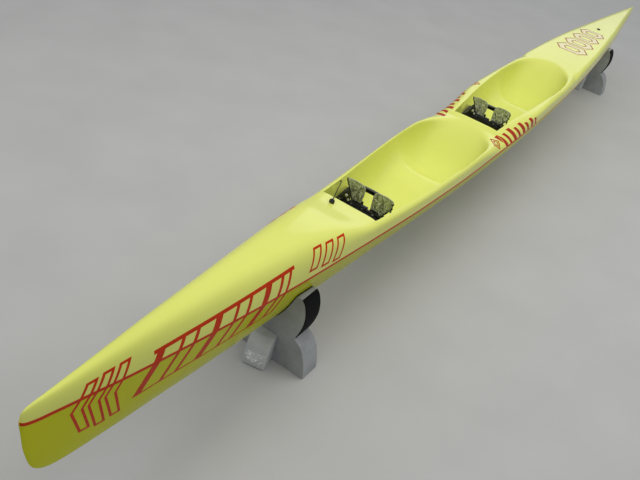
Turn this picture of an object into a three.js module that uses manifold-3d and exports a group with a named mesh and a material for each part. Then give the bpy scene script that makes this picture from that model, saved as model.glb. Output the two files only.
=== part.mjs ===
// Two-seat sit-on-top racing kayak (tandem surf ski) standing on two foam cradles.
// Millimetres. +X bow, +Y port, +Z up. Origin on the floor under the middle of the boat.
import * as THREE from 'three';
import Module from 'manifold-3d';
import { mergeVertices } from 'three/addons/utils/BufferGeometryUtils.js';

const wasm = await Module();
wasm.setup();

// ---------------------------------------------------------------- driving dimensions
const JOIN_GAP = 0.3;              // clearance between pieces that are bonded or rest on each other
const TUB_WALL = 6;                // thickness of the cockpit mouldings

const FRONT_WELL_X = 1960;         // forward edge of each footwell
const REAR_WELL_X = 427;
const FRONT_PEDAL_X = 1735;        // pedal plane of each footrest
const REAR_PEDAL_X = 144;
const PEDAL_HINGE_Z = 448;
const FOOTREST_Y = -10;            // the pedals sit a little to starboard of the middle

const CRADLE_X = [2431, -2606];    // middle of each cradle
const CRADLE_THICK = 111;
const BRACE_THICK = 108;
const BRACE_TURN = [13, 0];        // degrees, how far each brace sits out of line
const RUDDER_X = -2360;

// hull and deck sections, bow to stern:
// x, half beam at seam, seam height, keel height, hull exponent across, hull exponent down, crown height, deck exponent across, deck exponent up
const SECTIONS = [
  [3759, 2, 633, 618.5, 1.45, 1.1, 642, 2, 1.9],
  [3756, 5, 630.5, 594, 1.45, 1.08, 650, 2, 1.9],
  [3750, 8, 627, 516, 1.45, 1.06, 668, 2.1, 1.9],
  [3741, 10, 623.5, 467, 1.45, 1.05, 675, 2.2, 2],
  [3727, 12.5, 620, 413, 1.45, 1.05, 679, 2.3, 2],
  [3702, 16, 615, 373, 1.45, 1.04, 681, 2.3, 2],
  [3660, 21, 610, 343, 1.45, 1.03, 682, 2.4, 2],
  [3600, 28, 602.5, 324, 1.45, 1.02, 684, 2.5, 2],
  [3530, 35.5, 593.5, 311, 1.45, 1.02, 687, 2.5, 2],
  [3380, 52, 574.5, 289, 1.5, 1.02, 693, 2.6, 2],
  [3200, 72, 559.5, 270, 1.55, 1.02, 697, 2.7, 2],
  [3000, 93, 543.5, 250, 1.66, 1.02, 697, 2.7, 2.05],
  [2750, 117, 527.5, 234, 1.76, 1.02, 692, 2.9, 2.2],
  [2500, 138.5, 515.5, 226, 1.84, 1.01, 680, 3.3, 2.5],
  [2250, 157, 505.5, 222, 1.97, 1, 646, 4.2, 3.5],
  [1970, 177.5, 496.5, 220, 2.07, 1, 583, 6.5, 6.5],
  [1500, 209.5, 485.5, 218, 2.22, 1.04, 565, 8, 8],
  [1000, 233.5, 482, 217, 2.33, 1.18, 569, 8, 8],
  [860, 237, 481.5, 217, 2.38, 1.24, 568, 8, 8],
  [680, 240.5, 481.5, 217, 2.38, 1.32, 551, 6, 6],
  [490, 245.5, 481.5, 217, 2.38, 1.35, 539, 3.3, 2.6],
  [427, 246.5, 481.5, 217, 2.38, 1.36, 551, 4.4, 1.5],
  [350, 248, 481.7, 217.3, 2.38, 1.37, 558, 5.4, 1.2],
  [250, 249.5, 482, 217.7, 2.38, 1.38, 563, 6.8, 1.4],
  [150, 251, 482, 218, 2.38, 1.38, 566, 7.6, 2],
  [50, 251.8, 482.2, 218, 2.38, 1.37, 568.5, 8, 4.2],
  [-140, 252, 482.5, 218, 2.38, 1.35, 572, 8, 8],
  [-450, 249, 483, 219, 2.38, 1.3, 576, 8, 8],
  [-760, 243.7, 483.5, 220, 2.38, 1.23, 578, 8, 8],
  [-1100, 232, 485, 221, 2.33, 1.16, 588, 8, 8],
  [-1500, 212.5, 486.5, 223, 2.28, 1.12, 598, 8, 8],
  [-1820, 192.5, 488, 226, 2.17, 1.1, 601, 8, 8],
  [-2250, 161, 491.5, 233, 2.07, 1.1, 603, 6, 6],
  [-2600, 131, 496.5, 243, 1.97, 1.12, 603, 5, 5],
  [-3000, 90, 505.5, 268, 1.86, 1.15, 604, 4, 4],
  [-3400, 47.5, 514.5, 322, 1.66, 1.2, 599, 3.2, 3.2],
  [-3600, 26, 519, 368, 1.55, 1.2, 593, 2.8, 2.8],
  [-3700, 14.5, 522, 409, 1.55, 1.2, 588, 2.5, 2.5],
  [-3750, 7, 523.5, 455, 1.55, 1.2, 584, 2.2, 2.2],
  [-3767, 2, 525, 512, 1.55, 1.2, 540, 2, 2],
];
// where the solids are cut into facets
const STATIONS = [3759, 3756, 3750, 3741, 3727, 3702, 3660, 3600, 3530, 3380, 3200, 3000, 2750, 2500, 2370, 2250, 2170,
  2100, 2035, 1970, 1800, 1600, 1400, 1200, 1000, 860, 760, 680, 600, 540, 490, 427, 390, 350, 300, 250, 150, 50, -50, -200, -450, -760,
  -1000, -1250, -1500, -1820, -2050, -2250, -2430, -2600, -2800, -3000, -3200, -3400, -3600, -3700, -3750, -3767];

// cockpit moulding, from its forward edge aft:
// distance aft, half width at rim, floor height, section exponent
const WELL = [
  [0,    148, 303, 2.8],
  [60,   152, 300, 2.8],
  [200,  163, 299, 2.8],
  [420,  184, 302, 2.9],
  [620,  198, 328, 3.0],
  [790,  206, 372, 3.0],
  [890,  210, 386, 3.0],
  [990,  212, 350, 2.8],
  [1090, 211, 322, 2.8],
  [1200, 204, 346, 2.6],
  [1290, 190, 412, 2.4],
  [1360, 164, 474, 2.2],
  [1420, 118, 516, 2.0],
  [1460,  60, 548, 2.0],
];
const REAR_END_RISE = 34;          // the aft deck stands higher behind the rear seat

// cradle outline, one side, from the floor up: y, z
const CRADLE_OUTER = [
  [243, 0], [238, 40], [225, 92], [207, 138], [186, 167], [152, 187.5],
  [165, 226], [175, 268], [178, 306], [173, 352], [158, 392], [140, 410.5],
];
const ARM_START = 5;               // index of the waist in that outline
// brace outline, one side, from the floor up: x, z
const BRACE_OUTER = [[160, 0], [157, 40], [147, 92], [129, 125], [100, 148]];

const COLOUR = { gelcoat: 0xd8e04a, black: 0x16181a, weave: 0x5f6648, steel: 0xb9bcc0, foam: 0x9b9f9f, webbing: 0x202224 };
const paint = (color, roughness, metalness = 0) => new THREE.MeshStandardMaterial({ color, roughness, metalness });

// ---------------------------------------------------------------- curves
// monotone cubic through one column of a table whose first column rises or falls
function column(table, k) {
  const rows = table[0][0] < table[table.length - 1][0] ? table : [...table].reverse();
  const x = rows.map(r => r[0]), y = rows.map(r => r[k]), n = x.length;
  const d = [], m = new Array(n).fill(0);
  for (let i = 0; i < n - 1; i++) d.push((y[i + 1] - y[i]) / (x[i + 1] - x[i]));
  m[0] = d[0]; m[n - 1] = d[n - 2];
  for (let i = 1; i < n - 1; i++) {
    if (d[i - 1] * d[i] > 0) {
      const a = 2 * (x[i + 1] - x[i]) + (x[i] - x[i - 1]), b = (x[i + 1] - x[i]) + 2 * (x[i] - x[i - 1]);
      m[i] = (a + b) / (a / d[i - 1] + b / d[i]);
    }
  }
  return q => {
    if (q <= x[0]) return y[0];
    if (q >= x[n - 1]) return y[n - 1];
    let i = 0;
    while (q > x[i + 1]) i++;
    const h = x[i + 1] - x[i], t = (q - x[i]) / h;
    return y[i] * (1 + 2 * t) * (1 - t) ** 2 + m[i] * h * t * (1 - t) ** 2
      + y[i + 1] * t * t * (3 - 2 * t) + m[i + 1] * h * t * t * (t - 1);
  };
}
const [halfBeam, seamZ, keelZ, hullAcross, hullDown, crownZ, deckAcross, deckUp] = [1, 2, 3, 4, 5, 6, 7, 8].map(k => column(SECTIONS, k));
const [wellHalf, wellFloor, wellExp] = [1, 2, 3].map(k => column(WELL, k));

// quarter-symmetric rounded section: angle 0 on the port side, PI on the starboard side
function rounded(angle, half, depth, across, down = across) {
  const c = Math.cos(angle), s = Math.sin(angle);
  const flat = v => (Math.abs(v) < 1e-9 ? 0 : v);
  return [half * Math.sign(flat(c)) * Math.abs(flat(c)) ** (2 / across), depth * Math.abs(flat(s)) ** (2 / down)];
}
const deckTopZ = (x, y) => {
  const r = Math.min(1, Math.abs(y) / halfBeam(x));
  return seamZ(x) + (crownZ(x) - seamZ(x)) * (1 - r ** deckAcross(x)) ** (1 / deckUp(x));
};

// ---------------------------------------------------------------- solids
function solid(geometry) {
  const g = geometry.clone();
  g.deleteAttribute('normal');
  if (g.attributes.uv) g.deleteAttribute('uv');
  const m = mergeVertices(g, 1e-4);
  return new wasm.Manifold(new wasm.Mesh({ numProp: 3,
    vertProperties: new Float32Array(m.attributes.position.array), triVerts: new Uint32Array(m.index.array) }));
}
function geometryOf(manifold) {
  const mesh = manifold.getMesh();
  const g = new THREE.BufferGeometry();
  g.setAttribute('position', new THREE.BufferAttribute(new Float32Array(mesh.vertProperties), 3));
  g.setIndex(new THREE.BufferAttribute(new Uint32Array(mesh.triVerts), 1));
  return g;
}
// closed body through equal loops of points; the first and last loops are its ends
function loft(loops) {
  const n = loops[0].length, pos = [], idx = [];
  for (const loop of loops) for (const p of loop) pos.push(...p);
  for (let i = 0; i < loops.length - 1; i++) {
    for (let j = 0; j < n; j++) {
      const a = i * n + j, b = i * n + (j + 1) % n, c = a + n, d = b + n;
      idx.push(a, b, c, b, d, c);
    }
  }
  const last = (loops.length - 1) * n;
  for (let j = 1; j < n - 1; j++) {
    idx.push(0, j + 1, j);
    idx.push(last, last + j, last + j + 1);
  }
  let volume = 0;
  const v = i => new THREE.Vector3(pos[3 * i], pos[3 * i + 1], pos[3 * i + 2]);
  for (let i = 0; i < idx.length; i += 3) volume += v(idx[i]).dot(v(idx[i + 1]).cross(v(idx[i + 2])));
  if (volume < 0) for (let i = 0; i < idx.length; i += 3) [idx[i + 1], idx[i + 2]] = [idx[i + 2], idx[i + 1]];
  const g = new THREE.BufferGeometry();
  g.setAttribute('position', new THREE.Float32BufferAttribute(pos, 3));
  g.setIndex(idx);
  return g;
}
// an outline in the YZ plane drawn out along X, centred on x
function slabAlongX(points, thick, x) {
  const shape = new THREE.Shape(points.map(([y, z]) => new THREE.Vector2(y, z)));
  const g = new THREE.ExtrudeGeometry(shape, { depth: thick, bevelEnabled: false, steps: 1 });
  g.applyMatrix4(new THREE.Matrix4().set(0, 0, 1, x - thick / 2, 1, 0, 0, 0, 0, 1, 0, 0, 0, 0, 0, 1));
  return g;
}
function box(dx, dy, dz, x, y, z) {
  return new THREE.BoxGeometry(dx, dy, dz).translate(x, y, z);
}
function rod(radius, length, x, y, z, axis, sides = 12) {
  const g = new THREE.CylinderGeometry(radius, radius, length, sides);
  if (axis === 'x') g.rotateZ(Math.PI / 2);
  if (axis === 'z') g.rotateX(Math.PI / 2);
  return g.translate(x, y, z);
}

const ski = new THREE.Group();
function add(name, geometry, material) {
  const mesh = new THREE.Mesh(geometry, material);
  mesh.name = name;
  ski.add(mesh);
  return mesh;
}

// ---------------------------------------------------------------- hull and deck
const FACETS = 14;
const hullLoop = (x, grow = 0) => {
  const loop = [], b = halfBeam(x) + grow, d = seamZ(x) - keelZ(x) + grow;
  for (let i = 0; i <= FACETS; i++) {
    const [y, z] = rounded(Math.PI * i / FACETS, b, d, hullAcross(x), hullDown(x));
    loop.push([x, y, seamZ(x) - JOIN_GAP / 2 - z]);
  }
  return loop;
};
const deckLoop = x => {
  const loop = [], b = halfBeam(x), h = crownZ(x) - seamZ(x);
  for (let i = 0; i <= FACETS; i++) {
    const [y, z] = rounded(Math.PI * i / FACETS, b, h, deckAcross(x), deckUp(x));
    loop.push([x, y, seamZ(x) + JOIN_GAP / 2 + z]);
  }
  return loop;
};

// one cockpit: the space itself, or the same shape grown by the wall of its moulding
const WELL_FACETS = 12;
const WELL_ROWS = [0, 30, 120, 200, 310, 420, 520, 620, 710, 790, 890, 990, 1090, 1150, 1200, 1250, 1290, 1330, 1360, 1420, 1460];
function wellLoop(frontX, endRise, s, grow) {
  const last = WELL_ROWS[WELL_ROWS.length - 1];
  const x = frontX - s + (s === 0 ? grow : s === last ? -grow : 0);
  const floor = wellFloor(s) + (s > 1200 ? endRise * (s - 1200) / 220 : 0) - grow;
  const rim = deckTopZ(frontX - s, wellHalf(s)), loop = [];
  for (let i = 0; i <= WELL_FACETS; i++) {
    const [y, z] = rounded(Math.PI * i / WELL_FACETS, wellHalf(s) + grow, Math.max(rim - floor, 4), wellExp(s));
    loop.push([x, y, Math.max(rim, floor + 4) - z]);
  }
  return loop;
}
function wellBody(frontX, endRise, grow, topZ) {
  return loft(WELL_ROWS.map(s => {
    const loop = wellLoop(frontX, endRise, s, grow), x = loop[0][0], half = loop[0][1];
    return [...loop, [x, -half, topZ], [x, half, topZ]];
  }));
}
// half width of the faceted footwell at a place and height
function wallY(frontX, x, z) {
  const at = s => {
    const loop = wellLoop(frontX, 0, s, 0);
    for (let i = 0; i < WELL_FACETS / 2; i++) {
      const [, y0, z0] = loop[i], [, y1, z1] = loop[i + 1];
      if (z <= z0 && z >= z1) return y1 + (y0 - y1) * (z - z1) / (z0 - z1);
    }
    return loop[0][1];
  };
  const s = frontX - x;
  let i = 0;
  while (s > WELL_ROWS[i + 1]) i++;
  const t = (s - WELL_ROWS[i]) / (WELL_ROWS[i + 1] - WELL_ROWS[i]);
  return at(WELL_ROWS[i]) * (1 - t) + at(WELL_ROWS[i + 1]) * t;
}
const COCKPITS = [['front', FRONT_WELL_X, 0, FRONT_PEDAL_X], ['rear', REAR_WELL_X, REAR_END_RISE, REAR_PEDAL_X]];

let deckSolid = solid(loft(STATIONS.map(deckLoop)));
let hullSolid = solid(loft(STATIONS.map(x => hullLoop(x))));
const upperHalf = solid(box(8000, 700, 400, 0, 0, 486 + 200));
for (const [, frontX, rise] of COCKPITS) {
  // the moulding hangs from the deck and fills its pocket in the hull
  const tub = solid(wellBody(frontX, rise, TUB_WALL, 700)).subtract(upperHalf);
  deckSolid = deckSolid.add(tub);
  hullSolid = hullSolid.subtract(solid(wellBody(frontX, rise, TUB_WALL + JOIN_GAP, 700)));
}
for (const [, frontX, rise] of COCKPITS) deckSolid = deckSolid.subtract(solid(wellBody(frontX, rise, 0, 760)));

// ---------------------------------------------------------------- rudder under the stern
const STOCK_R = 6, BEARING_R = 13, FLANGE_R = 24, BEARING_DEEP = 50, FLANGE_T = 6;
const rudderTopZ = keelZ(RUDDER_X + FLANGE_R) - 0.6;
hullSolid = hullSolid.subtract(solid(rod(BEARING_R + JOIN_GAP, 2 * BEARING_DEEP, RUDDER_X, 0, rudderTopZ, 'z', 16)));
const flangeProfile = [[STOCK_R + 0.9, -FLANGE_T], [FLANGE_R - 3, -FLANGE_T], [FLANGE_R, -FLANGE_T + 2.5], [FLANGE_R, -1.2], [BEARING_R, -1.2],
  [BEARING_R, BEARING_DEEP - 4], [STOCK_R + 0.9, BEARING_DEEP - 4], [STOCK_R + 0.9, -FLANGE_T]].map(p => new THREE.Vector2(...p));
const bearing = new THREE.LatheGeometry(flangeProfile, 20);
bearing.rotateX(Math.PI / 2).translate(RUDDER_X, 0, rudderTopZ);
add('rudder_bearing', geometryOf(solid(bearing)), paint(COLOUR.black, 0.5));
add('rudder_stock', rod(STOCK_R, BEARING_DEEP + 4, RUDDER_X, 0, rudderTopZ + (BEARING_DEEP - 8) / 2 - 4, 'z', 16), paint(COLOUR.steel, 0.3, 1));
// blade sections from the root down: drop, chord, leading edge ahead of the stock, half thickness
const BLADE = [[0, 118, 42, 7.2], [60, 116, 39, 6.6], [120, 98, 29, 5.4], [160, 76, 17, 4.2], [182, 52, 4, 2.8]];
const FOIL = [[0, 0.0], [0.06, 0.62], [0.25, 1.0], [0.55, 0.78], [0.85, 0.3], [1, 0.05]];   // share of chord, share of half thickness
const bladeTop = rudderTopZ - FLANGE_T - 5.5;
add('rudder_blade', loft(BLADE.map(([drop, chord, lead, half]) => [
  ...FOIL.map(([c, t]) => [RUDDER_X + lead - c * chord, half * t, bladeTop - drop]),
  ...FOIL.slice(1).reverse().map(([c, t]) => [RUDDER_X + lead - c * chord, -half * t, bladeTop - drop]),
])), paint(COLOUR.black, 0.35));
// cap over the rudder stock, let into the aft deck
const CAP_R = 15, capZ = crownZ(RUDDER_X) - 4;
deckSolid = deckSolid.subtract(solid(rod(CAP_R + 0.7, 20, RUDDER_X, 0, capZ - JOIN_GAP + 10, 'z', 16)));
add('rudder_cap', new THREE.LatheGeometry([[0, 0], [CAP_R, 0], [CAP_R, 8], [12.5, 10.6], [0, 11.4]].map(p => new THREE.Vector2(...p)), 16)
  .rotateX(Math.PI / 2).translate(RUDDER_X, 0, capZ), paint(COLOUR.black, 0.5));
// seat of the line fairlead ahead of the front footwell
const LINE_FROM = [2026, -60], LINE_TO_X = 1775, LINE_R = 2.2, FAIRLEAD_R = 13.5;
const fairZ = deckTopZ(LINE_FROM[0], LINE_FROM[1]) - 3;
deckSolid = deckSolid.subtract(solid(rod(10, 20, LINE_FROM[0], LINE_FROM[1], fairZ - JOIN_GAP + 10, 'z', 14)));

add('hull', geometryOf(hullSolid), paint(COLOUR.gelcoat, 0.25));
add('deck', geometryOf(deckSolid), paint(COLOUR.gelcoat, 0.25));

// ---------------------------------------------------------------- footrests
const BAR_X = 42, BAR_SIZE_X = 52, BAR_SIZE_Z = 32, BAR_Z = 456;
const TRACK_T = 9, TRACK_H = 24, TRACK_LEN = 170;
const HINGE_R = 4, KNUCKLE_R = 8.5;
const PEDAL_T = 5;
// pedal outline on the port side: y, height above the hinge
const PEDAL_OUTLINE = [[28, 0], [30, 22], [33, 50], [31, 88], [34, 112], [52, 122], [96, 124], [128, 116], [135, 100], [130, 72], [112, 34], [92, 12], [88, 0]];
// foot strap, port end to the middle: y, distance behind the pedal plane, height of its centre line
const STRAP = [[131, -6, 473], [130.5, 6, 481], [128.5, 17, 487], [123, 27, 493], [114, 34, 500], [103, 39, 507.5], [90, 43, 514], [76, 46, 520], [60, 48.5, 525], [42, 49, 527], [0, 49, 528]];
const STRAP_W = 30, STRAP_T = 3;
for (const [name, frontX, , pedalX] of COCKPITS) {
  const barX = pedalX + BAR_X;
  // side tracks follow the walls
  const x0 = barX + 45, x1 = x0 - TRACK_LEN;
  for (const [side, sign] of [['port', 1], ['starboard', -1]]) {
    const loops = [x0, x1].map(x => {
      const w = wallY(frontX, x, BAR_Z - TRACK_H / 2) - 2.0;
      return [[x, sign * w, BAR_Z - TRACK_H / 2], [x, sign * w, BAR_Z + TRACK_H / 2],
        [x, sign * (w - TRACK_T), BAR_Z + TRACK_H / 2], [x, sign * (w - TRACK_T), BAR_Z - TRACK_H / 2]];
    });
    add(`${name}_track_${side}`, loft(loops), paint(COLOUR.black, 0.5));
  }
  // crossbar with the lugs and the rod that carry both pedals
  const barEnd = wallY(frontX, barX + BAR_SIZE_X / 2, BAR_Z - TRACK_H / 2) - 2.0 - TRACK_T - 1.2;
  let bar = solid(box(BAR_SIZE_X, 2 * barEnd, BAR_SIZE_Z, barX, 0, BAR_Z));
  for (const y of [-101, -19, 19, 101]) {
    bar = bar.add(solid(box(30, 8, 16, pedalX + 12, y + FOOTREST_Y, PEDAL_HINGE_Z)));
  }
  bar = bar.add(solid(rod(HINGE_R, 206, pedalX, FOOTREST_Y, PEDAL_HINGE_Z, 'y')));
  add(`${name}_crossbar`, geometryOf(bar), paint(COLOUR.black, 0.45));
  for (const [side, sign] of [['port', 1], ['starboard', -1]]) {
    const outline = PEDAL_OUTLINE.map(([y, h]) => [sign * y + FOOTREST_Y, PEDAL_HINGE_Z + h]);
    let pedal = solid(slabAlongX(sign > 0 ? outline : outline.reverse(), PEDAL_T, pedalX));
    pedal = pedal.add(solid(rod(KNUCKLE_R, 60, pedalX, sign * 60 + FOOTREST_Y, PEDAL_HINGE_Z, 'y', 16)));
    pedal = pedal.subtract(solid(rod(HINGE_R + 1.2, 80, pedalX, sign * 60 + FOOTREST_Y, PEDAL_HINGE_Z, 'y', 16)));
    add(`${name}_pedal_${side}`, geometryOf(pedal), paint(COLOUR.weave, 0.3));
  }
  // foot strap: up from the crossbar ends, round behind both pedals
  const strap = [];
  for (const sign of [1, -1]) {
    const half = STRAP.map(([y, back, z]) => [pedalX - back, sign * y + FOOTREST_Y, z]);
    strap.push(...(sign > 0 ? half : half.reverse().slice(1)));
  }
  add(`${name}_foot_strap`, loft(strap.map(([x, y, z], i) => {
    const a = strap[Math.max(i - 1, 0)], b = strap[Math.min(i + 1, strap.length - 1)];
    const len = Math.hypot(b[0] - a[0], b[1] - a[1]), nx = STRAP_T / 2 * (b[1] - a[1]) / len, ny = -STRAP_T / 2 * (b[0] - a[0]) / len;
    return [[x + nx, y + ny, z - STRAP_W / 2], [x + nx, y + ny, z + STRAP_W / 2],
      [x - nx, y - ny, z + STRAP_W / 2], [x - nx, y - ny, z - STRAP_W / 2]];
  })), paint(COLOUR.webbing, 0.8));
  // self bailer low in the footwell, ahead of the crossbar
  add(`${name}_bailer`, box(70, 34, 7, frontX - 75, 0, wellFloor(75) + 9), paint(COLOUR.black, 0.5));
}

// ---------------------------------------------------------------- steering line of the front cockpit
add('line_fairlead', new THREE.LatheGeometry([[0, 0], [9, 0], [9, 5.5], [FAIRLEAD_R, 9.5], [FAIRLEAD_R - 0.5, 16], [8, 22], [0, 24]].map(p => new THREE.Vector2(...p)), 14)
  .rotateX(Math.PI / 2).translate(LINE_FROM[0], LINE_FROM[1], fairZ), paint(COLOUR.black, 0.5));
const saddleZ = 556, saddleY = -(wallY(FRONT_WELL_X, LINE_TO_X + 13, saddleZ - 8) - 0.6);
add('line_saddle', box(12, 6, 9, LINE_TO_X, saddleY + 3, saddleZ), paint(COLOUR.black, 0.5));
const lineA = new THREE.Vector3(LINE_FROM[0], LINE_FROM[1], fairZ + 15.5), lineB = new THREE.Vector3(LINE_TO_X, saddleY + 6, saddleZ + 1);
const lineDir = lineB.clone().sub(lineA).normalize();
lineA.addScaledVector(lineDir, FAIRLEAD_R + 1.5);
lineB.addScaledVector(lineDir, -8);
const line = new THREE.ExtrudeGeometry(new THREE.Shape(Array.from({ length: 8 }, (_, i) =>
  new THREE.Vector2(LINE_R * Math.cos(Math.PI * i / 4), LINE_R * Math.sin(Math.PI * i / 4)))),
{ steps: 1, bevelEnabled: false, extrudePath: new THREE.LineCurve3(lineA, lineB) });
add('steering_line', geometryOf(solid(line)), paint(COLOUR.black, 0.7));

// ---------------------------------------------------------------- cradles
const PAD_T = 4, OUTER_PAD_T = 3;
CRADLE_X.forEach((cx, i) => {
  const name = i === 0 ? 'front' : 'rear';
  const near = STATIONS.filter(x => Math.abs(x - cx) < 420);
  const hullGrown = grow => solid(loft(near.map(x => hullLoop(x, grow))));
  const right = CRADLE_OUTER.map(p => [...p]);
  const outline = [...right, [98, 410.5], [0, 300], [-98, 410.5], ...[...right].reverse().map(([y, z]) => [-y, z])];
  let cradle = solid(slabAlongX(outline, CRADLE_THICK, cx)).subtract(hullGrown(PAD_T + 2 * JOIN_GAP));
  // brace, crossing through a slot in the cradle
  const braceShape = grow => {
    const half = BRACE_OUTER.map(([x, z]) => [x + grow, z + (z > 0 ? grow : -grow * 3)]);
    const pts = [...half, ...[...half].reverse().map(([x, z]) => [-x, z])];
    const shape = new THREE.Shape(pts.map(([x, z]) => new THREE.Vector2(x, z)));
    const t = BRACE_THICK + 2 * grow;
    return solid(new THREE.ExtrudeGeometry(shape, { depth: t, bevelEnabled: false })
      .translate(0, 0, -t / 2).rotateX(Math.PI / 2).rotateZ(THREE.MathUtils.degToRad(BRACE_TURN[i])).translate(cx, 0, 0));
  };
  cradle = cradle.subtract(braceShape(0.5));
  add(`${name}_cradle`, geometryOf(cradle), paint(COLOUR.foam, 0.8));
  add(`${name}_cradle_brace`, geometryOf(braceShape(0)), paint(COLOUR.foam, 0.8));
  // lining between hull and saddle
  const lining = hullGrown(PAD_T + JOIN_GAP).subtract(hullGrown(JOIN_GAP))
    .intersect(solid(slabAlongX([[150, 150], [150, 409], [-150, 409], [-150, 150]], CRADLE_THICK - 2, cx)));
  add(`${name}_saddle_pad`, geometryOf(lining), paint(COLOUR.webbing, 0.9));
  for (const [side, sign] of [['port', 1], ['starboard', -1]]) {
    const arm = [[154.3, 193], ...CRADLE_OUTER.slice(ARM_START + 1, CRADLE_OUTER.length - 1), [141, 409.5]];
    const inner = arm.map(([y, z]) => [y + 0.5, z]), outer = arm.map(([y, z]) => [y + 0.5 + OUTER_PAD_T, z]);
    const band = [...inner, ...outer.reverse()].map(([y, z]) => [sign * y, z]);
    if (sign > 0) band.reverse();
    add(`${name}_arm_pad_${side}`, slabAlongX(band, CRADLE_THICK - 1, cx), paint(COLOUR.webbing, 0.9));
  }
});

export default ski;
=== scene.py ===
import bpy, bmesh, math
import numpy as np
from mathutils import Vector, Matrix
from mathutils.bvhtree import BVHTree


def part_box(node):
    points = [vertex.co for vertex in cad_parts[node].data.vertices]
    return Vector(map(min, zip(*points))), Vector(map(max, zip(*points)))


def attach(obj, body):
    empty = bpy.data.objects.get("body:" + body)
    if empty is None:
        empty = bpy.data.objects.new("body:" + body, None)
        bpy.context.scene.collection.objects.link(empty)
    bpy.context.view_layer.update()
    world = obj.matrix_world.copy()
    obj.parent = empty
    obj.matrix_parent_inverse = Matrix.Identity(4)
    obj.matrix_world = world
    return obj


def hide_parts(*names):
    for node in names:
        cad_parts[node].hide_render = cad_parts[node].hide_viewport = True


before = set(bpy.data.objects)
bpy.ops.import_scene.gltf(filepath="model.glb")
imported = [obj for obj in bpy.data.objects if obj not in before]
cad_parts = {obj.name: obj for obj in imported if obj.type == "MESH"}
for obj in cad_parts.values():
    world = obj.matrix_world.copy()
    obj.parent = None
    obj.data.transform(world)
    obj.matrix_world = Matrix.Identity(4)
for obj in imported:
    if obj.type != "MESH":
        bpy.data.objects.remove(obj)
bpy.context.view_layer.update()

D2R = math.pi / 180
MM = 0.001

# ------------------------------------------------------------------ camera, floor and light
def camera():
    yaw, pitch, roll = -154.9944 * D2R, 35.3258 * D2R, 15.1627 * D2R
    d = Vector((math.cos(yaw) * math.cos(pitch), math.sin(yaw) * math.cos(pitch), -math.sin(pitch)))
    r = d.cross(Vector((0, 0, 1))).normalized()
    u = r.cross(d)
    right = math.cos(roll) * r + math.sin(roll) * u
    up = -math.sin(roll) * r + math.cos(roll) * u
    m = Matrix.Identity(4)
    for i, axis in enumerate((right, up, -d)):
        for k in range(3):
            m[k][i] = axis[k]
    m.translation = Vector((4.6051, 1.1360, 2.3872))
    data = bpy.data.cameras.new("camera")
    data.sensor_width = 36
    data.sensor_fit = "HORIZONTAL"
    data.lens = 733.92 / 640 * 36
    data.clip_start = 0.05
    cam = bpy.data.objects.new("camera", data)
    cam.matrix_world = m
    bpy.context.scene.collection.objects.link(cam)
    bpy.context.scene.camera = cam


camera()

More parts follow.
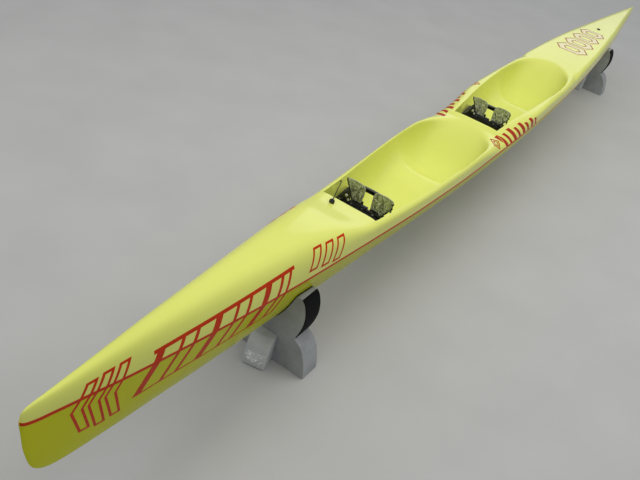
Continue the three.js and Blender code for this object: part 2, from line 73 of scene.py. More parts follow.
# ------------------------------------------------------------------ node materials
class Mat:
    """A procedural material under construction: nodes by short calls, coordinates in metres."""

    def __init__(self, name):
        self.m = bpy.data.materials.new(name)
        self.m.use_nodes = True
        self.t = self.m.node_tree
        self.t.nodes.clear()
        self.out = self.t.nodes.new("ShaderNodeOutputMaterial")
        self.bsdf = self.t.nodes.new("ShaderNodeBsdfPrincipled")
        self.t.links.new(self.bsdf.outputs[0], self.out.inputs[0])
        self.co = self.t.nodes.new("ShaderNodeTexCoord").outputs["Object"]

    def set(self, **kw):
        names = {"color": "Base Color", "rough": "Roughness", "metal": "Metallic", "coat": "Coat Weight",
                 "coat_rough": "Coat Roughness", "ior": "IOR", "spec": "Specular IOR Level", "sheen": "Sheen Weight",
                 "sheen_rough": "Sheen Roughness", "sss": "Subsurface Weight", "sss_scale": "Subsurface Scale",
                 "aniso": "Anisotropic", "trans": "Transmission Weight", "alpha": "Alpha"}
        for k, v in kw.items():
            s = self.bsdf.inputs[names[k]]
            if isinstance(v, bpy.types.NodeSocket):
                self.t.links.new(v, s)
            elif k == "color":
                s.default_value = (*v, 1)
            else:
                s.default_value = v
        return self

    def node(self, kind, inputs=(), **props):
        n = self.t.nodes.new(kind)
        for k, v in props.items():
            setattr(n, k, v)
        for key, v in dict(inputs).items():
            s = n.inputs[key]
            if isinstance(v, bpy.types.NodeSocket):
                self.t.links.new(v, s)
            elif hasattr(s.default_value, "__len__") and hasattr(v, "__len__") and len(s.default_value) == 4 and len(v) == 3:
                s.default_value = (*v, 1)
            else:
                s.default_value = v
        return n

    def scaled(self, sx, sy, sz, rot=(0, 0, 0)):
        return self.node("ShaderNodeMapping", {"Vector": self.co, "Scale": (sx, sy, sz), "Rotation": rot}).outputs[0]

    def noise(self, scale, detail=3, rough=0.5, vec=None, distortion=0.0):
        return self.node("ShaderNodeTexNoise", {"Vector": vec or self.co, "Scale": scale, "Detail": detail,
                                                "Roughness": rough, "Distortion": distortion}).outputs["Fac"]

    def voronoi(self, scale, feature="F1", vec=None, out="Distance"):
        return self.node("ShaderNodeTexVoronoi", {"Vector": vec or self.co, "Scale": scale}, feature=feature).outputs[out]

    def wave(self, scale, direction="X", distortion=0.0, vec=None, profile="SIN", detail=0):
        n = self.node("ShaderNodeTexWave", {"Vector": vec or self.co, "Scale": scale, "Distortion": distortion, "Detail": detail},
                      wave_type="BANDS", wave_profile=profile)
        n.bands_direction = direction
        return n.outputs["Fac"]

    def ramp(self, fac, stops):
        n = self.node("ShaderNodeValToRGB", {"Fac": fac})
        e = n.color_ramp.elements
        while len(e) < len(stops):
            e.new(0.5)
        for el, (p, c) in zip(e, stops):
            el.position = p
            el.color = (*c, 1) if hasattr(c, "__len__") else (c, c, c, 1)
        return n.outputs["Color"]

    def span(self, fac, lo, hi, a=0.0, b=1.0):
        return self.node("ShaderNodeMapRange", {"Value": fac, "From Min": a, "From Max": b, "To Min": lo, "To Max": hi}).outputs[0]

    def mix(self, fac, a, b, blend="MIX"):
        n = self.t.nodes.new("ShaderNodeMix")
        n.data_type = "RGBA"
        n.blend_type = blend
        for s, v in ((n.inputs[0], fac), (n.inputs[6], a), (n.inputs[7], b)):
            if isinstance(v, bpy.types.NodeSocket):
                self.t.links.new(v, s)
            elif hasattr(v, "__len__"):
                s.default_value = (*v, 1)
            else:
                s.default_value = v
        return n.outputs[2]

    def math(self, op, a, b=0.0, c=0.0):
        n = self.t.nodes.new("ShaderNodeMath")
        n.operation = op
        for s, v in zip(n.inputs, (a, b, c)):
            if isinstance(v, bpy.types.NodeSocket):
                self.t.links.new(v, s)
            else:
                s.default_value = v
        return n.outputs[0]

    def axes(self):
        n = self.node("ShaderNodeSeparateXYZ", {"Vector": self.co})
        return n.outputs[0], n.outputs[1], n.outputs[2]

    def bump(self, height, strength=0.3, distance=0.001, normal=None):
        ins = {"Height": height, "Strength": strength, "Distance": distance}
        if normal is not None:
            ins["Normal"] = normal
        return self.node("ShaderNodeBump", ins).outputs[0]

    def normal(self, n, coat=True):
        self.t.links.new(n, self.bsdf.inputs["Normal"])
        return self


# One yellow gelcoat for deck and hull. The deck's blue is raised as painted reflection, standing in for the whitish
# sheen of its gloss. The hull gets a darker, less blue copy as painted shade and painted dark reflection on its flanks
# and underside.
YELLOW, YELLOW_HULL_PAINTED_SHADE = (0.770, 0.815, 0.170), (0.585, 0.605, 0.007)


def gelcoat(name, base, coat=0.55, spec=0.5):
    m = Mat(name)
    drift = m.noise(1.6, 3, 0.5)
    fine = m.noise(38, 4, 0.6)
    col = m.mix(m.span(drift, 0.0, 1.0, 0.3, 0.7), tuple(c * 0.96 for c in base), (base[0] * 1.04, base[1] * 1.03, base[2] * 1.15))
    dust = m.ramp(m.noise(260, 4, 0.7), [(0.60, 0.0), (0.78, 0.35)])
    col = m.mix(m.math("MULTIPLY", dust, 0.16), col, (0.62, 0.63, 0.30))
    scuff = m.ramp(m.noise(9, 5, 0.7, m.scaled(0.3, 1.6, 1.6)), [(0.55, 0.0), (0.80, 1.0)])
    m.set(color=col, rough=m.math("ADD", m.span(fine, 0.16, 0.24), m.math("MULTIPLY", scuff, 0.10)),
          coat=coat, coat_rough=0.05, ior=1.5, spec=spec, sss=0.0)
    fair = m.bump(m.noise(7, 2, 0.4, m.scaled(0.35, 1, 1)), 0.10, 0.0022)
    m.normal(m.bump(m.noise(420, 2, 0.5), 0.05, 0.0004, fair))
    return m.m


def vinyl(name, color, coat=0.03):
    m = Mat(name)
    n = m.noise(55, 4, 0.6)
    col = m.mix(m.span(n, 0.0, 1.0, 0.3, 0.75), tuple(c * 0.86 for c in color), tuple(min(1, c * 1.10) for c in color))
    m.set(color=col, rough=m.span(m.noise(160, 3), 0.26, 0.40), coat=coat, coat_rough=0.10, spec=0.08)
    return m.normal(m.bump(m.noise(300, 3), 0.06, 0.0004)).m


def black_plastic(name, base=0.018, rough=(0.38, 0.58)):
    m = Mat(name)
    n = m.noise(60, 4, 0.6)
    worn = m.ramp(m.noise(24, 5, 0.7), [(0.58, 0.0), (0.74, 1.0)])
    col = m.mix(worn, (base, base * 1.02, base * 1.06), (base * 3.0, base * 3.05, base * 3.1))
    m.set(color=col, rough=m.span(n, *rough))
    return m.normal(m.bump(m.noise(900, 3, 0.6), 0.14, 0.0006)).m


def anodised(name):
    m = Mat(name)
    streak = m.noise(120, 4, 0.6, m.scaled(1.0, 0.12, 1.0))
    edge = m.ramp(m.noise(40, 5, 0.7), [(0.60, 0.0), (0.72, 1.0)])
    col = m.mix(m.math("MULTIPLY", edge, 0.6), (0.022, 0.023, 0.026), (0.10, 0.10, 0.11))
    m.set(color=col, metal=0.75, rough=m.span(streak, 0.26, 0.46), aniso=0.3)
    return m.normal(m.bump(streak, 0.05, 0.0004)).m


def steel(name):
    m = Mat(name)
    streak = m.noise(200, 4, 0.6, m.scaled(1, 0.15, 1))
    col = m.mix(m.span(m.noise(50, 3), 0, 1, 0.3, 0.7), (0.50, 0.50, 0.51), (0.68, 0.68, 0.70))
    m.set(color=col, metal=1.0, rough=m.span(streak, 0.16, 0.34))
    return m.normal(m.bump(streak, 0.05, 0.0003)).m


def weave(name):
    """Clear-coated 2x2 twill laid up by hand: tows 3 mm wide. The tows are painted olive, paler where a tow lies on
    top, as painted reflection of the yellow surroundings and of the tows' differing sheen. The pale streaks and white
    flecks are painted highlights and glints where the resin catches the light.
    """
    m = Mat(name)
    x, y, z = m.axes()
    tow = 1 / 0.0031
    u = m.math("MULTIPLY", y, tow)
    v = m.math("MULTIPLY", z, tow)
    cell = m.math("ADD", m.math("FLOOR", u), m.math("FLOOR", v))
    over = m.math("LESS_THAN", m.math("FLOORED_MODULO", cell, 4.0), 1.5)
    crown = lambda f: m.math("SINE", m.math("MULTIPLY", m.math("FRACT", f), math.pi))
    height = m.math("ADD", m.math("MULTIPLY", over, crown(u)), m.math("MULTIPLY", m.math("SUBTRACT", 1.0, over), crown(v)))
    # painted reflection: olive tones, paler on the tows that lie on top
    tone = m.mix(over, (0.34, 0.375, 0.165), (0.56, 0.61, 0.31))
    dark = m.ramp(m.noise(46, 4, 0.6, distortion=0.7), [(0.47, 0.0), (0.58, 1.0)])
    tone = m.mix(m.math("MULTIPLY", dark, 0.84), tone, (0.055, 0.065, 0.030))
    # painted highlights: pale streaks, then white glint flecks
    pale = m.ramp(m.noise(60, 3, 0.6, m.scaled(1.0, 1.7, 0.75, (0.5, 0, 0)), 0.9), [(0.545, 0.0), (0.585, 1.0)])
    tone = m.mix(m.math("MULTIPLY", pale, 0.9), tone, (0.90, 0.93, 0.72))
    painted_glints = m.ramp(m.noise(150, 2, 0.6, m.scaled(1.0, 1.5, 0.9, (-0.6, 0, 0))), [(0.59, 0.0), (0.64, 1.0)])
    tone = m.mix(m.math("MULTIPLY", painted_glints, 0.95), tone, (0.95, 0.96, 0.92))
    m.set(color=tone, metal=0.10, rough=m.span(m.noise(200, 3), 0.20, 0.40), coat=0.8, coat_rough=0.05)
    crease = m.bump(m.noise(85, 4, 0.65, distortion=0.8), 0.55, 0.0045)
    return m.normal(m.bump(height, 0.30, 0.0007, crease)).m


def webbing(name, base=(0.020, 0.021, 0.023)):
    m = Mat(name)
    x, y, z = m.axes()
    ribs = m.wave(180, "Z", vec=m.co)
    diag = m.wave(260, "DIAGONAL", vec=m.co)
    col = m.mix(m.math("MULTIPLY", ribs, 0.8), base, tuple(c * 3.2 for c in base))
    col = m.mix(m.math("MULTIPLY", m.ramp(m.noise(240, 3, 0.7), [(0.55, 0), (0.8, 1)]), 0.35), col, (0.12, 0.12, 0.12))
    m.set(color=col, rough=0.86, sheen=0.35, sheen_rough=0.5)
    return m.normal(m.bump(m.math("ADD", m.math("MULTIPLY", ribs, 0.6), m.math("MULTIPLY", diag, 0.5)), 0.55, 0.0007)).m


def neoprene(name):
    m = Mat(name)
    n = m.noise(420, 3, 0.7)
    col = m.mix(n, (0.10, 0.105, 0.10), (0.22, 0.225, 0.21))
    m.set(color=col, rough=0.9, sheen=0.3)
    return m.normal(m.bump(n, 0.4, 0.0006)).m


def braid(name):
    m = Mat(name)
    a = m.wave(420, "DIAGONAL")
    col = m.mix(a, (0.008, 0.008, 0.009), (0.028, 0.028, 0.028))
    m.set(color=col, rough=0.7)
    return m.normal(m.bump(a, 0.6, 0.0005)).m


def foam(name, light, dark, cell=300, patchy=0.35, layers=True, sheen=0.12, spec=0.4):
    m = Mat(name)
    v = m.voronoi(cell)
    n = m.noise(10, 5, 0.6)
    speck = m.ramp(m.noise(cell * 1.5, 3, 0.7), [(0.35, 0.0), (0.7, 1.0)])
    col = m.mix(m.span(n, 0.0, 1.0, 0.3, 0.7), dark, light)
    col = m.mix(m.math("MULTIPLY", speck, 0.25), col, tuple(c * 0.72 for c in dark))
    grime = m.ramp(m.noise(26, 6, 0.7), [(0.52, 0.0), (0.76, 1.0)])
    col = m.mix(m.math("MULTIPLY", grime, patchy), col, tuple(c * 0.60 for c in dark))
    m.set(color=col, rough=m.span(n, 0.72, 0.90), sheen=sheen, spec=spec)
    h = m.math("ADD", m.math("MULTIPLY", v, 0.8), m.math("MULTIPLY", m.noise(70, 4, 0.6), 0.8))
    if layers:
        x, y, z = m.axes()
        line = m.ramp(m.math("FRACT", m.math("MULTIPLY", z, 1 / 0.0508)), [(0.0, 0.0), (0.02, 1.0), (0.98, 1.0), (1.0, 0.0)])
        h = m.math("ADD", h, m.math("MULTIPLY", line, 0.6))
    return m.normal(m.bump(h, 0.32, 0.0011)).m


def tape(name):
    m = Mat(name)
    n = m.noise(70, 4, 0.7, distortion=0.6)
    film = m.mix(m.span(m.noise(24, 3, 0.5), 0, 1, 0.35, 0.65), (0.50, 0.52, 0.525), (0.66, 0.68, 0.69))
    # painted highlights: near-white flecks over the grey film stand in for glints on the crinkled tape
    col = m.mix(m.ramp(m.noise(62, 4, 0.6, m.scaled(0.8, 0.8, 1.6), 0.8), [(0.50, 0.0), (0.58, 1.0)]), film, (0.97, 0.98, 0.98))
    m.set(color=col, rough=m.span(n, 0.12, 0.26), coat=0.5, coat_rough=0.08)
    return m.normal(m.bump(m.noise(48, 4, 0.6, distortion=0.9), 0.7, 0.004)).m


def moulded_trim(name, color):
    m = Mat(name)
    n = m.noise(180, 4, 0.6)
    m.set(color=m.mix(m.span(n, 0, 1, 0.3, 0.7), tuple(c * 0.8 for c in color), tuple(c * 1.12 for c in color)), rough=m.span(n, 0.30, 0.5))
    return m.normal(m.bump(n, 0.15, 0.0004)).m


MAT = {
    # hull: the deck's gelcoat painted darker, as painted shade
    "gelcoat_hull": gelcoat("gelcoat_hull", YELLOW_HULL_PAINTED_SHADE, 0.03, 0.07),
    "gelcoat_deck": gelcoat("gelcoat_deck", YELLOW, 0.30, 0.10),
    "red": vinyl("red_vinyl", (0.60, 0.036, 0.003)),
    "red_faded": vinyl("red_vinyl_faded", (0.34, 0.055, 0.030)),
    "plastic": black_plastic("black_plastic"),
    "gloss_black": black_plastic("gloss_black", 0.012, (0.10, 0.22)),
    "anodised": anodised("black_anodised"),
    "steel": steel("stainless"),
    # white nylon, put on the starboard sheaves as painted highlights
    "nylon": moulded_trim("white_nylon_painted_glints", (0.72, 0.73, 0.70)),
    "weave": weave("woven_pedal"),
    "webbing": webbing("nylon_webbing"),
    "neoprene": neoprene("grey_neoprene"),
    "braid": braid("braided_line"),
    "foam": foam("grey_foam", (0.40, 0.418, 0.428), (0.285, 0.298, 0.307)),
    # the brace is the cradles' grey foam, painted lighter as painted light on its upward face
    "foam_brace_painted_light": foam("grey_foam_painted_light", (0.62, 0.64, 0.64), (0.48, 0.50, 0.50)),
    "foam_dark": foam("dark_foam", (0.010, 0.0105, 0.011), (0.005, 0.005, 0.0055), 520, 0.2, False, 0.0, 0.12),
    "tape": tape("clear_tape"),
    "cut_edge": moulded_trim("cut_edge", (0.46, 0.48, 0.40)),
    "red_side": vinyl("red_vinyl_side", (0.45, 0.035, 0.012)),
    "cream": vinyl("cream_vinyl", (0.90, 0.84, 0.52)),
}

# ------------------------------------------------------------------ mesh helpers (shapes in millimetres)
def make(name, verts, faces, mats, body, replaces=(), smooth=True, sharp=38, face_mat=None):
    me = bpy.data.meshes.new(name)
    me.from_pydata((np.asarray(verts, float) * MM).tolist(), [], [list(map(int, f)) for f in faces])
    me.update()
    bm = bmesh.new()
    bm.from_mesh(me)
    if face_mat is not None:
        for f, k in zip(bm.faces, face_mat):
            f.material_index = k
    bmesh.ops.remove_doubles(bm, verts=bm.verts, dist=1e-7)
    bmesh.ops.recalc_face_normals(bm, faces=bm.faces)
    bm.to_mesh(me)
    bm.free()
    if smooth:
        me.polygons.foreach_set("use_smooth", [True] * len(me.polygons))
        me.set_sharp_from_angle(angle=sharp * D2R)
    for m in (mats if isinstance(mats, (list, tuple)) else [mats]):
        me.materials.append(MAT[m])
    o = bpy.data.objects.new(name, me)
    bpy.context.scene.collection.objects.link(o)
    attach(o, body)
    if replaces:
        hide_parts(*replaces)
    return o


class Parts:
    """Several solids gathered into one mesh, each with its own material."""

    def __init__(self):
        self.v, self.f, self.m, self.mats = [], [], [], []

    def add(self, solid, mat):
        v, f = solid
        if mat not in self.mats:
            self.mats.append(mat)
        k, base = self.mats.index(mat), len(self.v)
        self.v += [tuple(map(float, p)) for p in v]
        self.f += [[i + base for i in q] for q in f]
        self.m += [k] * len(f)
        return self

    def build(self, name, body, slot=None, replaces=(), sharp=38):
        return make(name, self.v, self.f, self.mats, body, replaces, True, sharp, self.m)


def from_bm(bm):
    bm.verts.ensure_lookup_table()
    v = [tuple(p.co) for p in bm.verts]
    f = [[p.index for p in q.verts] for q in bm.faces]
    bm.free()
    return v, f


def block(dx, dy, dz, x, y, z, bevel=1.5, seg=3, turn=None):
    bm = bmesh.new()
    bmesh.ops.create_cube(bm, size=1)
    bmesh.ops.scale(bm, vec=(dx, dy, dz), verts=bm.verts)
    if bevel:
        bmesh.ops.bevel(bm, geom=bm.edges[:], offset=bevel, segments=seg, profile=0.5, affect="EDGES")
    if turn is not None:
        bmesh.ops.transform(bm, matrix=turn.to_4x4(), verts=bm.verts)
    bmesh.ops.translate(bm, vec=(x, y, z), verts=bm.verts)
    bm.verts.index_update()
    return from_bm(bm)


def prism(outline, thick, frame3, bevel=1.0, seg=2):
    """Closed outline (u, v) drawn out by thick, centred on frame3's origin; frame3 = origin, u axis, v axis."""
    o, eu, ev = (Vector(a) for a in frame3)
    en = eu.cross(ev)
    bm = bmesh.new()
    vs = [bm.verts.new(o + eu * u + ev * v - en * thick / 2) for u, v in outline]
    face = bm.faces.new(vs)
    ext = bmesh.ops.extrude_face_region(bm, geom=[face])
    top = [g for g in ext["geom"] if isinstance(g, bmesh.types.BMVert)]
    bmesh.ops.translate(bm, vec=en * thick, verts=top)
    if bevel:
        rim = [e for e in bm.edges if len(e.link_faces) == 2 and any(len(f.verts) > 4 for f in e.link_faces)]
        bmesh.ops.bevel(bm, geom=rim, offset=bevel, segments=seg, profile=0.5, affect="EDGES", clamp_overlap=True)
    bmesh.ops.recalc_face_normals(bm, faces=bm.faces)
    bm.verts.index_update()
    return from_bm(bm)


def frame_of(axis):
    a = Vector(axis).normalized()
    h = Vector((0, 0, 1)) if abs(a.z) < 0.9 else Vector((1, 0, 0))
    e1 = h.cross(a).normalized()
    return a, e1, a.cross(e1)


def lathe(profile, origin, axis, n=28):
    """profile (radius, height) turned about axis through origin; ends on the axis or closes on itself."""
    a, e1, e2 = frame_of(axis)
    o = Vector(origin)
    v, f, rings = [], [], []
    closed = profile[0] == profile[-1]
    pts = profile[:-1] if closed else profile
    for r, h in pts:
        if r < 1e-6:
            rings.append([len(v)])
            v.append(o + a * h)
        else:
            rings.append(list(range(len(v), len(v) + n)))
            v += [o + a * h + (e1 * math.cos(2 * math.pi * k / n) + e2 * math.sin(2 * math.pi * k / n)) * r for k in range(n)]
    pairs = list(zip(rings, rings[1:])) + ([(rings[-1], rings[0])] if closed else [])
    for p, q in pairs:
        for k in range(n):
            a0, a1 = p[k % len(p)], p[(k + 1) % len(p)]
            b0, b1 = q[k % len(q)], q[(k + 1) % len(q)]
            face = [a0, a1, b1, b0]
            face = [i for j, i in enumerate(face) if i not in face[:j]]
            if len(face) > 2:
                f.append(face)
    return [tuple(p) for p in v], f


def barrel(r, length, origin, axis, bevel=0.8, n=24, bore=0.0):
    """Cylinder centred on origin with rounded rims, bored if bore > 0."""
    h = length / 2
    b = bevel
    if bore:
        p = [(bore, -h + b * .5), (bore + b * .5, -h), (r - b, -h), (r - b * .3, -h + b * .3), (r, -h + b), (r, h - b), (r - b * .3, h - b * .3),
             (r - b, h), (bore + b * .5, h), (bore, h - b * .5), (bore, -h + b * .5)]
    else:
        p = [(0, -h), (r - b, -h), (r - b * .3, -h + b * .3), (r, -h + b), (r, h - b), (r - b * .3, h - b * .3), (r - b, h), (0, h)]
    return lathe(p, origin, axis, n)


def cap_screw(r, origin, axis, tall=None, n=20):
    """Socket-head screw: rounded head with a recessed socket, its underside at origin."""
    t = tall or r * 0.9
    s = r * 0.5
    p = [(0, -1.0), (r * .96, -1.0), (r, 0), (r, t * .72), (r * .86, t * .94), (r * .7, t), (s, t), (s * .96, t * .35), (0, t * .30)]
    return lathe(p, origin, axis, n)


def sweep(points, section, closed_section=True, up=None, caps=True, scale=None):
    """A section (u, v) carried along a smooth path; u is along side, v along up."""
    P = np.asarray(points, float)
    T = np.gradient(P, axis=0)
    T /= np.linalg.norm(T, axis=1)[:, None]
    if up is None:
        ref = np.array([0, 0, 1.0]) if abs(T[0][2]) < 0.9 else np.array([1.0, 0, 0])
        U = [ref - T[0] * ref.dot(T[0])]
        U[0] /= np.linalg.norm(U[0])
        for i in range(1, len(P)):
            w = U[-1] - T[i] * U[-1].dot(T[i])
            U.append(w / np.linalg.norm(w))
        U = np.array(U)
    else:
        U = np.asarray(up, float) * np.ones_like(P)
        U = U - T * (U * T).sum(1)[:, None]
        U /= np.linalg.norm(U, axis=1)[:, None]
    S = np.cross(T, U)
    n = len(section)
    v, f = [], []
    for i in range(len(P)):
        k = 1.0 if scale is None else scale[i]
        for a, b in section:
            v.append(P[i] + S[i] * a * k + U[i] * b * k)
    for i in range(len(P) - 1):
        for j in range(n):
            f.append([i * n + j, i * n + (j + 1) % n, (i + 1) * n + (j + 1) % n, (i + 1) * n + j])
    if caps:
        f.append(list(range(n - 1, -1, -1)))
        f.append([(len(P) - 1) * n + j for j in range(n)])
    return v, f


def ring(r, n=12):
    return [(r * math.cos(2 * math.pi * k / n), r * math.sin(2 * math.pi * k / n)) for k in range(n)]


def spline(points, per=8):
    """Catmull-Rom through the points."""
    P = np.asarray(points, float)
    Q = np.vstack([2 * P[0] - P[1], P, 2 * P[-1] - P[-2]])
    out = []
    for i in range(1, len(Q) - 2):
        p0, p1, p2, p3 = Q[i - 1], Q[i], Q[i + 1], Q[i + 2]
        for k in range(per):
            t = k / per
            out.append(0.5 * ((2 * p1) + (p2 - p0) * t + (2 * p0 - 5 * p1 + 4 * p2 - p3) * t * t + (3 * p1 - p0 - 3 * p2 + p3) * t ** 3))
    out.append(P[-1])
    return np.array(out)


def chaikin(poly, times=2, keep=()):
    """Rounds the corners of a closed outline, apart from those in keep."""
    P = [tuple(p) for p in poly]
    K = set(keep)
    for _ in range(times):
        out, k2 = [], set()
        n = len(P)
        for i in range(n):
            p0, p, p1 = P[i - 1], P[i], P[(i + 1) % n]
            if i in K:
                k2.add(len(out))
                out.append(p)
            else:
                out.append((0.25 * p0[0] + 0.75 * p[0], 0.25 * p0[1] + 0.75 * p[1]))
                out.append((0.25 * p1[0] + 0.75 * p[0], 0.25 * p1[1] + 0.75 * p[1]))
        P, K = out, k2
    return P


# ------------------------------------------------------------------ hull and deck tables, as in the CAD
# x, half beam at seam, seam height, keel height, hull exponent across, hull exponent down, crown height, deck exponent across, deck exponent up
SECTIONS = [
  [3759, 2, 633, 618.5, 1.45, 1.1, 642, 2, 1.9],
  [3756, 5, 630.5, 594, 1.45, 1.08, 650, 2, 1.9],
  [3750, 8, 627, 516, 1.45, 1.06, 668, 2.1, 1.9],
  [3741, 10, 623.5, 467, 1.45, 1.05, 675, 2.2, 2],
  [3727, 12.5, 620, 413, 1.45, 1.05, 679, 2.3, 2],
  [3702, 16, 615, 373, 1.45, 1.04, 681, 2.3, 2],
  [3660, 21, 610, 343, 1.45, 1.03, 682, 2.4, 2],
  [3600, 28, 602.5, 324, 1.45, 1.02, 684, 2.5, 2],
  [3530, 35.5, 593.5, 311, 1.45, 1.02, 687, 2.5, 2],
  [3380, 52, 574.5, 289, 1.5, 1.02, 693, 2.6, 2],
  [3200, 72, 559.5, 270, 1.55, 1.02, 697, 2.7, 2],
  [3000, 93, 543.5, 250, 1.66, 1.02, 697, 2.7, 2.05],
  [2750, 117, 527.5, 234, 1.76, 1.02, 692, 2.9, 2.2],
  [2500, 138.5, 515.5, 226, 1.84, 1.01, 680, 3.3, 2.5],
  [2250, 157, 505.5, 222, 1.97, 1, 646, 4.2, 3.5],
  [1970, 177.5, 496.5, 220, 2.07, 1, 583, 6.5, 6.5],
  [1500, 209.5, 485.5, 218, 2.22, 1.04, 565, 8, 8],
  [1000, 233.5, 482, 217, 2.33, 1.18, 569, 8, 8],
  [860, 237, 481.5, 217, 2.38, 1.24, 568, 8, 8],
  [680, 240.5, 481.5, 217, 2.38, 1.32, 551, 6, 6],
  [490, 245.5, 481.5, 217, 2.38, 1.35, 539, 3.3, 2.6],
  [427, 246.5, 481.5, 217, 2.38, 1.36, 551, 4.4, 1.5],
  [350, 248, 481.7, 217.3, 2.38, 1.37, 558, 5.4, 1.2],
  [250, 249.5, 482, 217.7, 2.38, 1.38, 563, 6.8, 1.4],
  [150, 251, 482, 218, 2.38, 1.38, 566, 7.6, 2],
  [50, 251.8, 482.2, 218, 2.38, 1.37, 568.5, 8, 4.2],
  [-140, 252, 482.5, 218, 2.38, 1.35, 572, 8, 8],
  [-450, 249, 483, 219, 2.38, 1.3, 576, 8, 8],
  [-760, 243.7, 483.5, 220, 2.38, 1.23, 578, 8, 8],
  [-1100, 232, 485, 221, 2.33, 1.16, 588, 8, 8],
  [-1500, 212.5, 486.5, 223, 2.28, 1.12, 598, 8, 8],
  [-1820, 192.5, 488, 226, 2.17, 1.1, 601, 8, 8],
  [-2250, 161, 491.5, 233, 2.07, 1.1, 603, 6, 6],
  [-2600, 131, 496.5, 243, 1.97, 1.12, 603, 5, 5],
  [-3000, 90, 505.5, 268, 1.86, 1.15, 604, 4, 4],
  [-3400, 47.5, 514.5, 322, 1.66, 1.2, 599, 3.2, 3.2],
  [-3600, 26, 519, 368, 1.55, 1.2, 593, 2.8, 2.8],
  [-3700, 14.5, 522, 409, 1.55, 1.2, 588, 2.5, 2.5],
  [-3750, 7, 523.5, 455, 1.55, 1.2, 584, 2.2, 2.2],
  [-3767, 2, 525, 512, 1.55, 1.2, 540, 2, 2],
]
# distance aft, half width at rim, floor height, section exponent
WELL = [
  [0,    148, 303, 2.8],
  [60,   152, 300, 2.8],
  [200,  163, 299, 2.8],
  [420,  184, 302, 2.9],
  [620,  198, 328, 3.0],
  [790,  206, 372, 3.0],
  [890,  210, 386, 3.0],
  [990,  212, 350, 2.8],
  [1090, 211, 322, 2.8],
  [1200, 204, 346, 2.6],
  [1290, 190, 412, 2.4],
  [1360, 164, 474, 2.2],
  [1420, 118, 516, 2.0],
  [1460,  60, 548, 2.0],
]
FRONT_WELL_X, REAR_WELL_X, REAR_END_RISE = 1960, 427, 34


def pchip(x, y):
    x, y = np.asarray(x, float), np.asarray(y, float)
    h = np.diff(x)
    d = np.diff(y) / h
    m = np.zeros(len(x))
    m[0], m[-1] = d[0], d[-1]
    for i in range(1, len(x) - 1):
        if d[i - 1] * d[i] > 0:
            a, b = 2 * h[i] + h[i - 1], h[i] + 2 * h[i - 1]
            m[i] = (a + b) / (a / d[i - 1] + b / d[i])

    def f(q):
        q = np.clip(q, x[0], x[-1])
        i = np.clip(np.searchsorted(x, q, side="right") - 1, 0, len(x) - 2)
        t = (q - x[i]) / h[i]
        return (y[i] * (1 + 2 * t) * (1 - t) ** 2 + m[i] * h[i] * t * (1 - t) ** 2
                + y[i + 1] * t * t * (3 - 2 * t) + m[i + 1] * h[i] * t * t * (t - 1))
    return f


SEC = np.array(SECTIONS, float)[::-1]
half_beam, seam_z, keel_z, hull_ac, hull_dn, crown_z, deck_ac, deck_up = [pchip(SEC[:, 0], SEC[:, k]) for k in range(1, 9)]
WEL = np.array(WELL, float)
well_half, well_floor, well_ex = [pchip(WEL[:, 0], WEL[:, k]) for k in (1, 2, 3)]


def deck_z(x, y):
    r = np.clip(np.abs(y) / half_beam(x), 0, 1)
    return seam_z(x) + (crown_z(x) - seam_z(x)) * (1 - r ** deck_ac(x)) ** (1 / deck_up(x))


def along(P, count=None, at=None):
    """Points at equal steps of length along a polyline, or at the given lengths."""
    P = np.asarray(P, float)
    s = np.concatenate([[0], np.cumsum(np.linalg.norm(np.diff(P, axis=0), axis=1))])
    q = np.linspace(0, s[-1], count) if at is None else np.asarray(at, float)
    return np.stack([np.interp(q, s, P[:, k]) for k in range(P.shape[1])], 1)


def length(P):
    return float(np.linalg.norm(np.diff(np.asarray(P, float), axis=0), axis=1).sum())


def deck_side(x, corner):
    """From the seam up and in to |y| = corner: (y, z)."""
    b, se, h = half_beam(x), seam_z(x), crown_z(x) - seam_z(x)
    a = np.linspace(0, math.pi / 2, 500)
    y = b * np.cos(a) ** (2 / deck_ac(x))
    z = se + h * np.sin(a) ** (2 / deck_up(x))
    k = y > corner
    return np.vstack([np.stack([y[k], z[k]], 1), [[corner, deck_z(x, corner)]]])


def hull_side(x, count=200):
    """From the seam down to the keel: (y, z)."""
    a = np.linspace(0, math.pi / 2, 400)
    y = half_beam(x) * np.cos(a) ** (2 / hull_ac(x))
    z = seam_z(x) - (seam_z(x) - keel_z(x)) * np.sin(a) ** (2 / hull_dn(x))
    return along(np.stack([y, z], 1), count)


def smooth_corner(P, l0, sigma):
    """Rounds a polyline near length l0, with the same step all along; its last point is on the centre line."""
    step = 1.5
    L = length(P)
    n = max(int(L / step), 40)
    Q = along(P, n)
    full = np.vstack([Q, (Q * [-1, 1])[::-1][1:]])
    ds = L / (n - 1)
    half = int(4 * sigma / ds) + 1
    k = np.exp(-0.5 * (np.arange(-half, half + 1) * ds / sigma) ** 2)
    k /= k.sum()
    ext = np.vstack([2 * full[0] - full[1:half + 1][::-1], full, 2 * full[-1] - full[-half - 1:-1][::-1]])
    sm = np.stack([np.convolve(ext[:, c], k, mode="valid") for c in range(2)], 1)[:n]
    l = np.linspace(0, L, n)
    w = np.exp(-0.5 * ((l - l0) / (3.0 * sigma)) ** 2)[:, None]
    out = w * sm + (1 - w) * Q
    out[-1, 0] = 0
    return out


NA, NB = 22, 34


